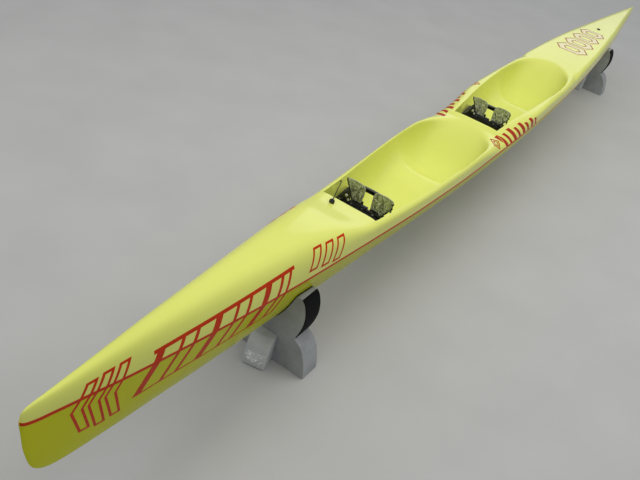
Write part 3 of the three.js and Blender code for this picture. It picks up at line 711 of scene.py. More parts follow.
def half_section(x, corner, sigma, dep=0.0, half=None, ex=3.0):
    """Half a deck section from the seam to the middle, NA + NB + 1 points."""
    A = deck_side(x, corner)
    if dep > 0.05:
        t = np.linspace(0, math.pi / 2, 300)
        y = half * np.cos(t) ** (2 / ex)
        z = deck_z(x, y) - dep * np.sin(t) ** (2 / ex)
        B = np.stack([y, z], 1)
        B[-1, 0] = 0
    else:
        y = np.linspace(corner, 0, 80)
        B = np.stack([y, deck_z(x, y)], 1)
    la, lb = length(A), length(B)
    P = np.vstack([A, B[1:]])
    if sigma > 0:
        P = smooth_corner(P, la, sigma)
    tot = length(P)
    la2 = tot * la / (la + lb)
    qa = np.linspace(0, la2, NA + 1)
    g = np.linspace(0, 1, NB + 1)
    qb = la2 + (tot - la2) * (0.55 * g + 0.45 * g ** 1.8)
    return along(P, at=np.concatenate([qa, qb[1:]]))


def well_station(front_x, rise, s):
    x = front_x - s
    half, ex = float(well_half(s)), float(well_ex(s))
    floor = float(well_floor(s)) + (rise * (s - 1200) / 220 if s > 1200 else 0)
    top = float(deck_z(x, 0.0))
    d = top - floor
    dep = 0.5 * (d + math.hypot(d, 14.0)) if s > 1150 else d        # dies out softly behind the seat
    if s > 1380:
        dep *= max(0.0, 1 - ((s - 1380) / 110) ** 2)
    sigma = float(np.interp(s, [0, 60, 800, 1050, 1200, 1300, 1400, 1490], [3.0, 3.6, 4.5, 12, 24, 36, 42, 44]))
    sigma = min(sigma, max(3.6, 0.34 * (float(half_beam(x)) - half)))
    return half_section(x, half, sigma, max(dep, 0.0), half, ex)


WELL_END = 1490


def plain_corner(x):
    b = float(half_beam(x))
    if x > FRONT_WELL_X:
        return min(148.0, 0.62 * b + (148 - 0.62 * float(half_beam(FRONT_WELL_X))) * max(0, 1 - (x - FRONT_WELL_X) / 900))
    if x > REAR_WELL_X:
        t = (x - REAR_WELL_X) / (FRONT_WELL_X - WELL_END - REAR_WELL_X)
        return 148 + (well_half(WELL_END) - 148) * t * t * (3 - 2 * t)
    w = float(well_half(WELL_END))
    t = min(1, (REAR_WELL_X - WELL_END - x) / 700)
    return w + (0.5 * b - w) * t * t * (3 - 2 * t)


def graded(a, b, step, tip=None):
    n = max(2, int(abs(b - a) / step))
    return list(np.linspace(a, b, n + 1))


def tip_list(x_end, x_in, n=30):
    """Stations from the tip inwards, close together where the ends are round."""
    t = np.linspace(0, 1, n)
    return list(x_end + (x_in - x_end) * t ** 2.2)


EDGE_R, TOE_R = 3.5, 12.0


def deck_rows():
    rows = []

    def plain(x):
        h = half_section(x, plain_corner(x), 0)
        rows.append(np.column_stack([np.full(len(h), x), h]))

    def end_wall(front_x):
        deck = half_section(front_x, 148.0, 0)
        cut = well_station(front_x, 0, 0.0)
        j = np.arange(len(deck))
        wb = np.clip((j - NA) / 4.0, 0, 1)
        for t in (0.004, 0.010, 0.020, 0.035, 0.06, 0.12, 0.22, 0.34, 0.46, 0.58, 0.70, 0.80, 0.88, 0.93, 0.965, 0.99, 1.0):
            P = deck * (1 - t) + cut * t
            H = np.linalg.norm(cut - deck, axis=1)
            r1, r2 = np.minimum(EDGE_R, H / 2 + 1e-6), np.minimum(TOE_R, H / 2 + 1e-6)
            d1, d2 = np.minimum(H * t, r1), np.minimum(H * (1 - t), r2)
            top = r1 - np.sqrt(np.maximum(r1 ** 2 - (r1 - d1) ** 2, 0))
            bot = r2 - np.sqrt(np.maximum(r2 ** 2 - (r2 - d2) ** 2, 0))
            wall = front_x + top - bot
            line = front_x + EDGE_R * (1 - t) - TOE_R * t
            rows.append(np.column_stack([line * (1 - wb) + wall * wb, P]))

    def well(front_x, rise):
        s = [TOE_R + 1.5, 18, 25, 34, 46] + graded(60, 1040, 14) + graded(1050, WELL_END, 8)
        for q in s:
            h = well_station(front_x, rise, float(q))
            rows.append(np.column_stack([np.full(len(h), front_x - q), h]))

    for x in tip_list(3759, 3400):
        plain(x)
    for x in graded(3370, FRONT_WELL_X + EDGE_R, 26):
        plain(x)
    end_wall(FRONT_WELL_X)
    well(FRONT_WELL_X, 0)
    for x in graded(FRONT_WELL_X - WELL_END - 6, REAR_WELL_X + EDGE_R, 7):
        plain(x)
    end_wall(REAR_WELL_X)
    well(REAR_WELL_X, REAR_END_RISE)
    for x in graded(REAR_WELL_X - WELL_END - 8, -3400, 26):
        plain(x)
    for x in tip_list(-3767, -3420)[::-1]:
        plain(x)
    H = np.array(rows)                                  # rows, half points, xyz
    return np.concatenate([H, (H[:, ::-1] * [1, -1, 1])[:, 1:]], 1)


def shell(P, thick, flip=False):
    """A grid of section points (rows, across, 3) as a closed shell with that wall."""
    R, N, _ = P.shape
    du = np.gradient(P, axis=0)
    dv = np.gradient(P, axis=1)
    n = np.cross(du, dv)
    n /= np.maximum(np.linalg.norm(n, axis=2), 1e-9)[..., None]
    if flip:
        n = -n
    b = np.abs(P[:, :1, 1:2])
    t = np.minimum(thick, 0.33 * np.maximum(b, 0.5))
    Q = P - n * t
    v = np.concatenate([P.reshape(-1, 3), Q.reshape(-1, 3)])
    off = R * N
    f = []
    for i in range(R - 1):
        for j in range(N - 1):
            a, b2, c, d = i * N + j, i * N + j + 1, (i + 1) * N + j + 1, (i + 1) * N + j
            f.append([a, b2, c, d])
            f.append([off + a, off + d, off + c, off + b2])
    for i in range(R - 1):
        a, d = i * N, (i + 1) * N
        f.append([a, d, off + d, off + a])
        a, d = i * N + N - 1, (i + 1) * N + N - 1
        f.append([a, off + a, off + d, d])
    first = list(range(N))
    last = [(R - 1) * N + j for j in range(N)]
    f.append(first[::-1])
    f.append([off + j for j in first])
    f.append(last)
    f.append([off + j for j in last[::-1]])
    f.append([0, N - 1, off + N - 1, off])
    a, c = (R - 1) * N, R * N - 1
    f.append([a, off + a, off + c, c])
    return v, f


def fair(P, x_hi, x_on, x_off, x_lo, sigma=32.0):
    """Fairs the mould surface along x from x_hi down to x_lo, where a seat runs out into the deck; the seam stays."""
    x = P[:, NA + NB, 0]
    rows = np.where((x < x_hi + 60) & (x > x_lo - 60) & (np.abs(P[:, 0, 0] - x) < 1e-6))[0]
    rows = rows[(x[rows] < x_hi + 60) & (x[rows] > max(x_lo - 60, REAR_WELL_X + 5 if x_hi > REAR_WELL_X else -9999))]
    X = x[rows]
    G = np.exp(-0.5 * ((X[:, None] - X[None]) / sigma) ** 2) * np.abs(np.gradient(X))[None]
    G /= G.sum(1)[:, None]
    S = np.einsum("ij,jkl->ikl", G, P[rows])
    w = np.interp(X, [x_lo, x_off, x_on, x_hi], [0, 1, 1, 0])
    N = P.shape[1]
    j = np.arange(N)
    c = np.clip(np.minimum(j, N - 1 - j) / 7.0, 0, 1)
    w, c = w * w * (3 - 2 * w), c * c * (3 - 2 * c)
    W = (w[:, None] * c[None])[..., None]
    P[rows, :, 1:] = P[rows, :, 1:] * (1 - W) + S[..., 1:] * W


DECK = deck_rows()
fair(DECK, 950, 830, 520, 450)
fair(DECK, -583, -703, -1240, -1460, 42)
v, f = shell(DECK, 3.0, flip=False)
make("deck_moulding", v, f, "gelcoat_deck", "boat", ("deck",), sharp=50)


def hull_rows():
    xs = tip_list(3759, 3300, 44) + graded(3280, -3300, 32) + tip_list(-3767, -3330, 36)[::-1]
    rows = []
    for x in xs:
        h = hull_side(x, 34)
        h = np.vstack([h, (h * [-1, 1])[::-1][1:]])
        rows.append(np.column_stack([np.full(len(h), x), h]))
    return np.array(rows)


HULL = hull_rows()
v, f = shell(HULL, 3.0, flip=True)
make("hull_moulding", v, f, "gelcoat_hull", "boat", ("hull",), sharp=50)

# ------------------------------------------------------------------ vinyl: stripe along the seam and plain bars
def tree_of(P):
    R, N, _ = P.shape
    f = [[i * N + j, i * N + j + 1, (i + 1) * N + j + 1, (i + 1) * N + j] for i in range(R - 1) for j in range(N - 1)]
    return BVHTree.FromPolygons([tuple(p) for p in P.reshape(-1, 3)], f)


DECK_TREE, HULL_TREE = tree_of(DECK), tree_of(HULL)


def skin_point(x, w, side):
    """Point on the outside, w millimetres above (+) or below (-) the seam along the surface; side is +1 port."""
    x = min(max(float(x), -3766.9), 3758.9)
    if w >= 0:
        P = deck_side(x, min(4.0, 0.3 * float(half_beam(x))))
    else:
        P = hull_side(x, 260)
    y, z = along(P, at=[abs(w)])[0]
    return np.array([x, y * side, z])


def skin(x, w, side):
    """That point on the finished mouldings, and the direction out of them there."""
    e = 1.5
    p = skin_point(x, w, side)
    tx = skin_point(x + e, w, side) - skin_point(x - e, w, side)
    tw = skin_point(x, w + e, side) - skin_point(x, w - e, side)
    n = np.cross(tx, tw)
    n /= max(np.linalg.norm(n), 1e-9)
    if n[1] * side < 0 and abs(n[1]) > 0.05 or (abs(n[1]) <= 0.05 and n[2] < 0):
        n = -n
    q, m, _, gap = (DECK_TREE if w >= 0 else HULL_TREE).find_nearest(Vector(p))
    if q is not None and gap < 30:
        p, m = np.array(q), np.array(m)
        if gap > 0.5:
            n = m if m.dot(n) > 0 else -m
    return p, n


def top_skin(x, y):
    """Point on top of the deck, and up."""
    p = Vector((x, y, float(deck_z(x, y))))
    q = DECK_TREE.find_nearest(p)[0]
    e = 2.0
    n = np.array([-(deck_z(x + e, y) - deck_z(x - e, y)) / (2 * e), -(deck_z(x, y + e) - deck_z(x, y - e)) / (2 * e), 1.0])
    return np.array(q if (q - p).length < 6 else p), n / np.linalg.norm(n)


def decal(name, polys, place, mat, body="boat", step_x=26.0, step_w=7.0):
    """Flat quads in (x, w), cut fine and laid as a thin closed film where place(x, w) says."""
    bm = bmesh.new()
    for poly in polys:
        bm.faces.new([bm.verts.new((x, w, 0)) for x, w in poly])
    bmesh.ops.remove_doubles(bm, verts=bm.verts, dist=0.01)
    co = np.array([v.co[:] for v in bm.verts])
    x0, x1, w0, w1 = co[:, 0].min(), co[:, 0].max(), co[:, 1].min(), co[:, 1].max()
    for x in np.arange(math.ceil(x0 / step_x) * step_x, x1, step_x):
        bmesh.ops.bisect_plane(bm, geom=bm.verts[:] + bm.edges[:] + bm.faces[:], plane_co=(x, 0, 0), plane_no=(1, 0, 0))
    cuts = sorted(set(list(np.arange(math.ceil(w0 / step_w) * step_w, w1, step_w)) + [0.0]))
    for w in cuts:
        bmesh.ops.bisect_plane(bm, geom=bm.verts[:] + bm.edges[:] + bm.faces[:], plane_co=(0, w, 0), plane_no=(0, 1, 0))
    bmesh.ops.triangulate(bm, faces=bm.faces[:])
    bm.verts.index_update()
    flat = [tuple(v.co[:2]) for v in bm.verts]
    faces = [[p.index for p in q.verts] for q in bm.faces]
    edge = [[e.verts[0].index, e.verts[1].index] for e in bm.edges if len(e.link_faces) == 1]
    bm.free()
    laid = [place(x, w) for x, w in flat]
    top = [p + n * 0.40 for p, n in laid]
    low = [p - n * 0.6 for p, n in laid]
    n = len(flat)
    f = faces + [[i + n for i in q[::-1]] for q in faces] + [[a, b, b + n, a + n] for a, b in edge]
    return make(name, top + low, f, mat, body, (), sharp=50)


def stroke(poly, w):
    """A closed outline drawn with a pen w wide, as quads with mitred corners."""
    P = [Vector(p) for p in poly]
    n = len(P)
    ins, outs = [], []
    for i in range(n):
        a, b, c = P[i - 1], P[i], P[(i + 1) % n]
        d1, d2 = (b - a).normalized(), (c - b).normalized()
        n1, n2 = Vector((-d1.y, d1.x)), Vector((-d2.y, d2.x))
        m = (n1 + n2).normalized()
        k = w / 2 / max(0.35, m.dot(n1))
        ins.append(b - m * k)
        outs.append(b + m * k)
    return [[tuple(ins[i]), tuple(ins[(i + 1) % n]), tuple(outs[(i + 1) % n]), tuple(outs[i])] for i in range(n)]


def bar(x0, w0, x1, w1, wide, slant=0.0):
    """A solid slanted bar from (x0, w0) to (x1, w1), wide along x."""
    return [(x0 - wide / 2, w0), (x0 + wide / 2, w0), (x1 + wide / 2, w1), (x1 - wide / 2, w1)]


def seam_stripe():
    for side, name in ((1, "port"), (-1, "starboard")):
        xs = tip_list(3758.5, 3400, 30) + graded(3380, -3380, 24) + tip_list(-3765, -3400, 20)[::-1]
        rows_t, rows_l = [], []
        for x in xs:
            wide = np.interp(x, [-3767, -150, 250, 1500, 3767], [6, 7, 12, 14, 14])
            room = 0.85 * length(deck_side(x, min(4.0, 0.3 * float(half_beam(x)))))
            ws = [min(1.2 + k * wide, room * (k + 0.45)) for k in (-0.45, -0.22, 0.0, 0.28, 0.55)]
            laid = [skin(x, w, side) for w in ws]
            rows_t.append([p + n * 0.30 for p, n in laid])
            rows_l.append([p - n * 0.5 for p, n in laid])
        T, L = np.array(rows_t), np.array(rows_l)
        R, N = T.shape[:2]
        v = np.concatenate([T.reshape(-1, 3), L.reshape(-1, 3)])
        off = R * N
        f = []
        for i in range(R - 1):
            for j in range(N - 1):
                a, b2, c, d = i * N + j, i * N + j + 1, (i + 1) * N + j + 1, (i + 1) * N + j
                f += [[a, b2, c, d], [off + a, off + d, off + c, off + b2]]
            for j in (0, N - 1):
                a, d = i * N + j, (i + 1) * N + j
                f.append([a, d, off + d, off + a])
        for i in (0, R - 1):
            for j in range(N - 1):
                a = i * N + j
                f.append([a, a + 1, off + a + 1, off + a])
        make(f"seam_stripe_{name}", v, f, "red", "boat", (), sharp=60)


seam_stripe()

# ------------------------------------------------------------------ footrests
def cad(node):
    """Lowest and highest corner of a CAD node in millimetres."""
    lo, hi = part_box(node)
    return np.array(lo, float) / MM, np.array(hi, float) / MM


FOOT_Y, HINGE_Z = -10.0, 448.0
PEDAL_X = {"front": 1735.0, "rear": 144.0}
# pedal face, port: distance out from the footrest's middle, lower edge, upper edge (heights above the hinge)
PEDAL_FACE = [
  [26.0, 6.8, 92.0],
  [27.6, 6.8, 104.0],
  [31.0, 6.8, 112.5],
  [36.0, 6.8, 118.0],
  [44.0, 6.8, 121.8],
  [56.0, 6.8, 123.8],
  [70.0, 6.8, 124.8],
  [79.0, 6.8, 125.2],
  [88.0, 25.0, 125.4],
  [97.0, 42.5, 125.2],
  [106.0, 60.0, 124.2],
  [115.0, 77.5, 122.6],
  [124.0, 95.0, 120.6],
  [130.5, 107.8, 118.8],
  [134.0, 113.0, 116.0],
]
# the port pedal's lower edge, column by column
PORT_EDGE = [6.8, 6.8, 6.8, 6.8, 6.8, 6.8, 6.8, 6.8, 7.6, 17.0, 28.0, 41.0, 57.5, 70.0, 78.0]


def pedal(cockpit, side):
    px, sign = PEDAL_X[cockpit], 1 if side == "port" else -1
    body = f"{cockpit}_pedal_{side}"
    F = np.array(PEDAL_FACE)
    ys = np.concatenate([np.linspace(a, b, 3)[:-1] for a, b in zip(F[:-1, 0], F[1:, 0])] + [[134.0]])
    lo, hi = np.interp(ys, F[:, 0], F[:, 1] if sign < 0 else PORT_EDGE), pchip(F[:, 0], F[:, 2])(ys)
    NV, T = 26, 3.4

    def crown(y, h):
        a, b = (y - 26) / 108, (h - 6) / 120
        wave = 0.35 * math.sin(y * 0.19 + h * 0.11) + 0.30 * math.sin(h * 0.23 - y * 0.07 + (2 if sign > 0 else 0))
        return -2.6 * math.sin(math.pi * a) * math.sin(math.pi * min(1, b)) + wave * b
    v, f = [], []
    NU = len(ys)
    for k, off in ((0, -T / 2), (1, T / 2)):
        for i in range(NU):
            for j in range(NV):
                h = lo[i] + (hi[i] - lo[i]) * j / (NV - 1)
                v.append((px + off + crown(ys[i], h), sign * ys[i] + FOOT_Y, HINGE_Z + h))
    n = NU * NV
    for i in range(NU - 1):
        for j in range(NV - 1):
            a, b, c, d = i * NV + j, i * NV + j + 1, (i + 1) * NV + j + 1, (i + 1) * NV + j
            f += [[a, b, c, d], [n + a, n + d, n + c, n + b]]
    rim = [(i, 0) for i in range(NU)] + [(NU - 1, j) for j in range(1, NV)] + [(i, NV - 1) for i in range(NU - 2, -1, -1)] + [(0, j) for j in range(NV - 2, 0, -1)]
    for (i, j), (k, l) in zip(rim, rim[1:] + rim[:1]):
        f.append([i * NV + j, k * NV + l, n + k * NV + l, n + i * NV + j])
    P = Parts().add((v, f), "weave")

    def edge(points, out):
        return np.array([(px + crown(y, h) + out, sign * y + FOOT_Y, HINGE_Z + h) for y, h in points])
    top = along(np.column_stack([ys, hi]), 40)
    P.add(sweep(edge(np.vstack([[[26, 60]], [[26, 76]], top]), 0), ring(2.3, 10)), "cut_edge")
    low = [(134, 113.5), (124, 95), (106, 60), (88, 25), (80.5, 11)] if sign < 0 else [(134, 110), (133, 80), (128.5, 72), (112.5, 43), (95.5, 18.5), (86, 6)]
    P.add(sweep(edge(along(np.array(low, float), 22), 0), ring(3.9 if sign < 0 else 2.5, 12)), "plastic")
    if sign > 0:
        foot = [(117, 51), (112.5, 43), (95.5, 18.5), (86, 6)]
        P.add(sweep(edge(along(np.array(foot, float), 14), 0), ring(4.4, 12)), "plastic")
    # hinge barrel with flanged bushes, and the foot of the plate wrapped round it
    y0 = sign * 60 + FOOT_Y
    P.add(barrel(8.3, 56, (px, y0, HINGE_Z), (0, 1, 0), 0.9, 32, 5.0), "weave")
    for s in (-1, 1):
        P.add(barrel(7.2, 3.4, (px, y0 + s * 28.2, HINGE_Z), (0, 1, 0), 0.6, 28, 5.0), "plastic")
    # backing bar and its bolts
    P.add(block(4.6, 46, 13, px + T / 2 + 1.4, sign * 53 + FOOT_Y, HINGE_Z + 17, 1.4), "anodised")
    for y in (37, 68):
        P.add(cap_screw(4.3, (px - T / 2 + 0.1 + crown(y, 17), sign * y + FOOT_Y, HINGE_Z + 17), (-1, 0, 0), 3.0), "steel")
        P.add(cap_screw(4.0, (px + T / 2 + 3.4, sign * y + FOOT_Y, HINGE_Z + 17), (1, 0, 0), 2.6), "steel")
    y, h = 71, 49
    P.add(barrel(6.4, 1.4, (px - T / 2 - 0.5 + crown(y, h), sign * y + FOOT_Y, HINGE_Z + h), (1, 0, 0), 0.4, 28, 2.2), "steel")
    P.add(cap_screw(4.2, (px - T / 2 - 1.0 + crown(y, h), sign * y + FOOT_Y, HINGE_Z + h), (-1, 0, 0), 3.2), "steel")
    # line anchors on the rim: turned beads on short stems
    if side == "starboard":
        beads = [((131, 115), (134, 118), 3.8)]
    else:
        beads = [((131, 103), (135, 105), 4.6), ((129, 84), (134.5, 79), 5.0)]
    for (ya, ha), (yb, hb), r in beads:
        a = np.array([px + crown(ya, ha), sign * ya + FOOT_Y, HINGE_Z + ha])
        b = np.array([px - 0.5, sign * yb + FOOT_Y, HINGE_Z + hb])
        P.add(sweep(np.linspace(a, b, 6), ring(1.9, 10)), "plastic")
        d = (b - a) / np.linalg.norm(b - a)
        t = np.linspace(0, math.pi, 11)
        P.add(lathe([(0 if k in (0, 10) else r * math.sin(q), -r * 0.92 * math.cos(q)) for k, q in enumerate(t)], tuple(b), tuple(d), 22), "gloss_black")
    P.build(f"{cockpit}_pedal_{side}_plate", body, "pedal_weave", (f"{cockpit}_pedal_{side}",), sharp=42)


def crossbar(cockpit):
    px = PEDAL_X[cockpit]
    lo, hi = cad(f"{cockpit}_crossbar")
    end, bx, bz = float(hi[1]), px + 42, 456.0
    P = Parts()
    # extruded bar with a slot along its top and a groove along each flank
    half = [(26, -12.5), (26, -5), (22.5, -5), (22.5, 5), (26, 5), (26, 12.5), (25, 15), (22.5, 16), (5.2, 16), (5.2, 12.6), (10.5, 12.6), (10.5, 5.6)]
    outline = [(22.5, -16), (25, -15)] + half + [(-x, z) for x, z in half[::-1]] + [(-25, -15), (-22.5, -16)]
    P.add(prism(outline, 2 * end - 24, ((bx, 0, bz), (1, 0, 0), (0, 0, 1)), 0.5, 1), "anodised")
    for s in (-1, 1):
        y = s * (end - 8.2)
        P.add(block(52, 15.6, 31.6, bx, y, bz, 2.6, 4), "plastic")
        P.add(block(30, 9.5, 7.5, bx + 4, y, bz + 17.8, 2.2, 3), "gloss_black")
        P.add(barrel(5.2, 9.5, (bx - 15, y, bz + 18.6), (0, 0, 1), 1.0, 26), "steel")
        P.add(cap_screw(3.3, (bx + 17, y, bz + 21.0), (0, 0, 1), 2.4), "steel")
        P.add(block(11, 30, 8.5, bx - 8, s * (end - 27), bz + 18.4, 2.6, 3), "gloss_black")
    for y in (-101, -19, 19, 101):
        a = np.linspace(math.pi / 2, 1.5 * math.pi, 13)
        lug = [(8 * math.cos(q), 8 * math.sin(q)) for q in a] + [(17, -8), (17, 8)]
        P.add(prism(lug, 7.6, ((px, y + FOOT_Y, HINGE_Z), (1, 0, 0), (0, 0, 1)), 0.9, 2), "anodised")
        P.add(cap_screw(3.0, (px + 11.5, y + FOOT_Y + (4 if y > 0 else -4), HINGE_Z), (0, 1 if y > 0 else -1, 0), 2.2), "steel")
    P.add(barrel(4.0, 205, (px, FOOT_Y, HINGE_Z), (0, 1, 0), 1.0, 24), "steel")
    # cheek plates at both ends, each with a sheave for the pedal line
    cheek = [(-141, 471), (-139, 478), (-134, 487), (-126, 506), (-115, 525), (-106, 531), (-97, 529), (-89, 514), (-85, 497), (-83, 480), (-83, 471)]
    for s, tall in ((-1, 1.0 if cockpit == "front" else 0.8), (1, 0.45)):
        shape = chaikin([(-s * y + (0 if s < 0 else 2), 471 + (z - 471) * tall) for y, z in cheek], 2, (0, len(cheek) - 1))
        P.add(prism(shape if s < 0 else shape[::-1], 7.0, ((bx, 0, 0), (0, 1, 0), (0, 0, 1)), 1.0, 2), "gloss_black")
        P.add(block(20, 46, 4.6, bx, s * 112, bz + 17.6, 1.4, 2), "gloss_black")
        zc = 471 + 34 * tall
        # the starboard sheave and small barrel are white as painted highlights; the port ones are black
        P.add(barrel(7.6, 5.0, (bx + 6.4, s * 105, zc), (1, 0, 0), 1.2, 28, 2.4), "nylon" if s < 0 else "plastic")
        P.add(cap_screw(3.8, (bx + 8.8, s * 105, zc), (1, 0, 0), 2.6), "steel")
        P.add(barrel(6.0, 4.0, (bx + 4.6, s * 91, 471 + 14 * max(tall, 0.7)), (1, 0, 0), 0.6, 20, 2.0), "nylon" if s < 0 else "plastic")
        P.add(cap_screw(3.0, (bx + 7, s * 126, bz + 19.9), (0, 0, 1), 2.2), "steel")
    # wrap of webbing round the bar between the pedals, and the cam block beside it
    P.add(block(16, 42, 34, px + 20.5, FOOT_Y, bz + 8, 3.0, 3), "webbing")
    P.add(block(10, 12, 26, px + 20.5, FOOT_Y - 15.0, bz + 29, 2.4, 3), "gloss_black")
    # clamp nuts in the top slot, a lever cam with its bright pin, and the two toggles of the pedal lines
    for y in (-62, 0, 62):
        P.add(barrel(6.6, 4.0, (bx, y + FOOT_Y, bz + 14.6), (0, 0, 1), 0.6, 6), "steel")
        P.add(cap_screw(3.4, (bx, y + FOOT_Y, bz + 16.4), (0, 0, 1), 2.8), "steel")
    P.add(barrel(7.4, 9.0, (px + 25, -99, bz + 20), (0, 0, 1), 1.2, 30), "steel")
    P.add(barrel(4.4, 4.6, (px + 25, -99, bz + 26), (0, 0, 1), 0.8, 22), "steel")
    for y in (-84, 44):
        P.add(block(22, 11, 9, bx - 6, y, bz + 18.5, 2.4, 3), "plastic")
    tie = spline([(px + 25, -99, bz + 21), (px + 34, -88, bz + 24), (bx + 2, -70, bz + 21), (bx + 6, -30, bz + 18.6), (bx + 4, 10, bz + 18.6), (bx - 4, 44, bz + 20)], 8)
    P.add(sweep(tie, ring(1.8, 8)), "braid")
    P.build(f"{cockpit}_crossbar_assembly", "boat", "black_metal", (f"{cockpit}_crossbar",), sharp=40)


def tracks(cockpit):
    for side, s in (("port", 1), ("starboard", -1)):
        lo, hi = cad(f"{cockpit}_track_{side}")
        x1, x0 = lo[0], hi[0]
        outer = [max(abs(lo[1]), abs(hi[1])), min(abs(lo[1]), abs(hi[1])) + 9.0]
        a = np.array([x1, s * outer[0], 456.0])
        b = np.array([x0, s * outer[1], 456.0])
        d = (b - a) / np.linalg.norm(b - a)
        n = np.array([-d[1], d[0], 0]) * (-1 if s > 0 else 1)
        if n[1] * s > 0:
            n = -n                                            # towards the middle of the boat
        L, mid = float(np.linalg.norm(b - a)), (a + b) / 2
        # channel: back against the wall, two lips that hold the slider, toothed bottom lip
        shape = [(-3.5, -12), (8.2, -12), (9, -11.2), (9, -6.6), (6.4, -6.6), (6.4, -8.6), (3.0, -8.6), (3.0, 8.6), (6.4, 8.6), (6.4, 6.6), (9, 6.6), (9, 11.2), (8.2, 12), (-3.5, 12)]
        P = Parts().add(prism(shape, L - 1, (tuple(mid), tuple(n), (0, 0, 1)), 0.4, 1), "anodised")
        for k in range(17):
            c = a + d * (8 + k * (L - 16) / 16) + n * 3.2
            P.add(block(2.4, 3.6, 17.0, c[0], c[1], c[2], 0.5, 1), "anodised")
        for q in (0.10, 0.5, 0.90):
            c = a + d * L * q + n * 3.0
            P.add(cap_screw(4.4, tuple(c), tuple(n), 3.0), "steel")
        P.build(f"{cockpit}_track_{side}_channel", "boat", "black_metal", (f"{cockpit}_track_{side}",), sharp=35)


# foot strap, port end to the middle: out from the footrest's middle, behind the pedal plane, height
STRAP = [[131, -6, 473], [130.5, 6, 481], [128.5, 17, 487], [123, 27, 493], [114, 34, 500], [103, 39, 507.5], [90, 43, 514], [76, 46, 520], [60, 48.5, 525], [42, 49, 527], [0, 49, 528]]


def strap(cockpit):
    px = PEDAL_X[cockpit]
    h = [(px - b, y + FOOT_Y, z) for y, b, z in STRAP]
    m = [(px - b, -y + FOOT_Y, z) for y, b, z in STRAP[::-1]][1:]
    path = spline(h + m, 8)
    S = [0.0] + list(np.cumsum(np.linalg.norm(np.diff(path, axis=0), axis=1)))
    path = along(path, 150)
    T = np.gradient(path, axis=0)
    T /= np.linalg.norm(T, axis=1)[:, None]
    N = np.cross(T, [0, 0, 1.0])
    N /= np.linalg.norm(N, axis=1)[:, None]
    band = [(-1.3, -13.6), (-0.7, -14.4), (0.7, -14.4), (1.3, -13.6), (1.3, 13.6), (0.7, 14.4), (-0.7, 14.4), (-1.3, 13.6)]
    P = Parts().add(sweep(path, band, up=(0, 0, 1)), "webbing")
    # padded middle: black body, grey top
    k0, k1 = 46, 103
    mid = path[k0:k1 + 1]
    q = np.linspace(0, 1, len(mid))
    swell = 0.55 + 0.45 * np.clip(np.minimum(q, 1 - q) / 0.10, 0, 1) ** 0.5
    body = [(-3.2, -12.6), (-1.8, -13.8), (1.8, -13.8), (3.2, -12.6), (3.6, 0), (3.3, 8.5), (-3.3, 8.5), (-3.6, 0)]
    P.add(sweep(mid, body, up=(0, 0, 1), scale=swell), "foam_dark")
    top = [(-3.5, 8.2), (3.5, 8.2), (4.0, 11.0), (3.4, 14.0), (1.6, 15.2), (-1.6, 15.2), (-3.4, 14.0), (-4.0, 11.0)]
    P.add(sweep(mid, top, up=(0, 0, 1), scale=swell), "neoprene")
    # two rows of stitches on the webbing, and the pale thread along the pad
    U = np.cross(N, T)
    for row in (-11.6, 11.6):
        for i in range(4, 146, 3):
            if k0 - 1 < i < k1 + 1:
                continue
            for s in (-1, 1):
                c = path[i] + N[i] * 1.35 * s + U[i] * row * (1 if U[i][2] > 0 else -1)
                P.add(sweep([c - T[i] * 1.5, c, c + T[i] * 1.5], ring(0.45, 5)), "cut_edge")
    for i in range(k0 + 3, k1 - 2, 2):
        for s in (-1, 1):
            c = path[i] + N[i] * 3.45 * s + np.array([0, 0, 7.2])
            P.add(sweep([c - T[i] * 1.3, c, c + T[i] * 1.3], ring(0.45, 5)), "cut_edge")
    # ends: folded tabs bolted to the crossbar's end blocks
    for s, i in ((1, 0), (-1, -1)):
        c = path[i]
        P.add(block(13, 5.2, 27, c[0] + 5.0, c[1], c[2] - 1.0, 1.4, 3), "webbing")
        for dz in (-7, 6):
            P.add(cap_screw(3.4, (c[0] + 5.5, c[1] - s * 2.6, c[2] + dz), (0, -s, 0), 2.2), "steel")
    P.build(f"{cockpit}_foot_strap_webbing", "boat", "webbing", (f"{cockpit}_foot_strap",), sharp=45)


def bailer(cockpit):
    lo, hi = cad(f"{cockpit}_bailer")
    x, z = (lo[0] + hi[0]) / 2, lo[2]
    a = np.linspace(0, 2 * math.pi, 40, endpoint=False)
    base = [(35 * np.sign(math.cos(q)) * abs(math.cos(q)) ** 0.5, 17 * np.sign(math.sin(q)) * abs(math.sin(q)) ** 0.5) for q in a]
    P = Parts().add(prism(base, 8.2, ((x, 0, z - 1.2), (1, 0, 0), (0, 1, 0)), 1.4, 3), "plastic")
    hood = [(-22, 0), (24, 0), (24, 1.2), (10, 3.4), (-14, 4.4), (-22, 4.2)]
    P.add(prism(hood, 22, ((x, 0, z + 2.6), (1, 0, 0), (0, 0, 1)), 0.7, 2), "gloss_black")
    for sx in (-27, 27):
        for sy in (-9.5, 9.5):
            P.add(cap_screw(2.6, (x + sx, sy, z + 2.6), (0, 0, 1), 1.6), "steel")
    P.add(block(16, 3.4, 2.4, x - 24, 0, z + 6.0, 0.7, 2), "steel")
    P.build(f"{cockpit}_bailer_body", "boat", "black_plastic", (f"{cockpit}_bailer",), sharp=38)


for ck in ("front", "rear"):
    for sd in ("port", "starboard"):
        pedal(ck, sd)
    crossbar(ck)
    tracks(ck)
    strap(ck)
    bailer(ck)


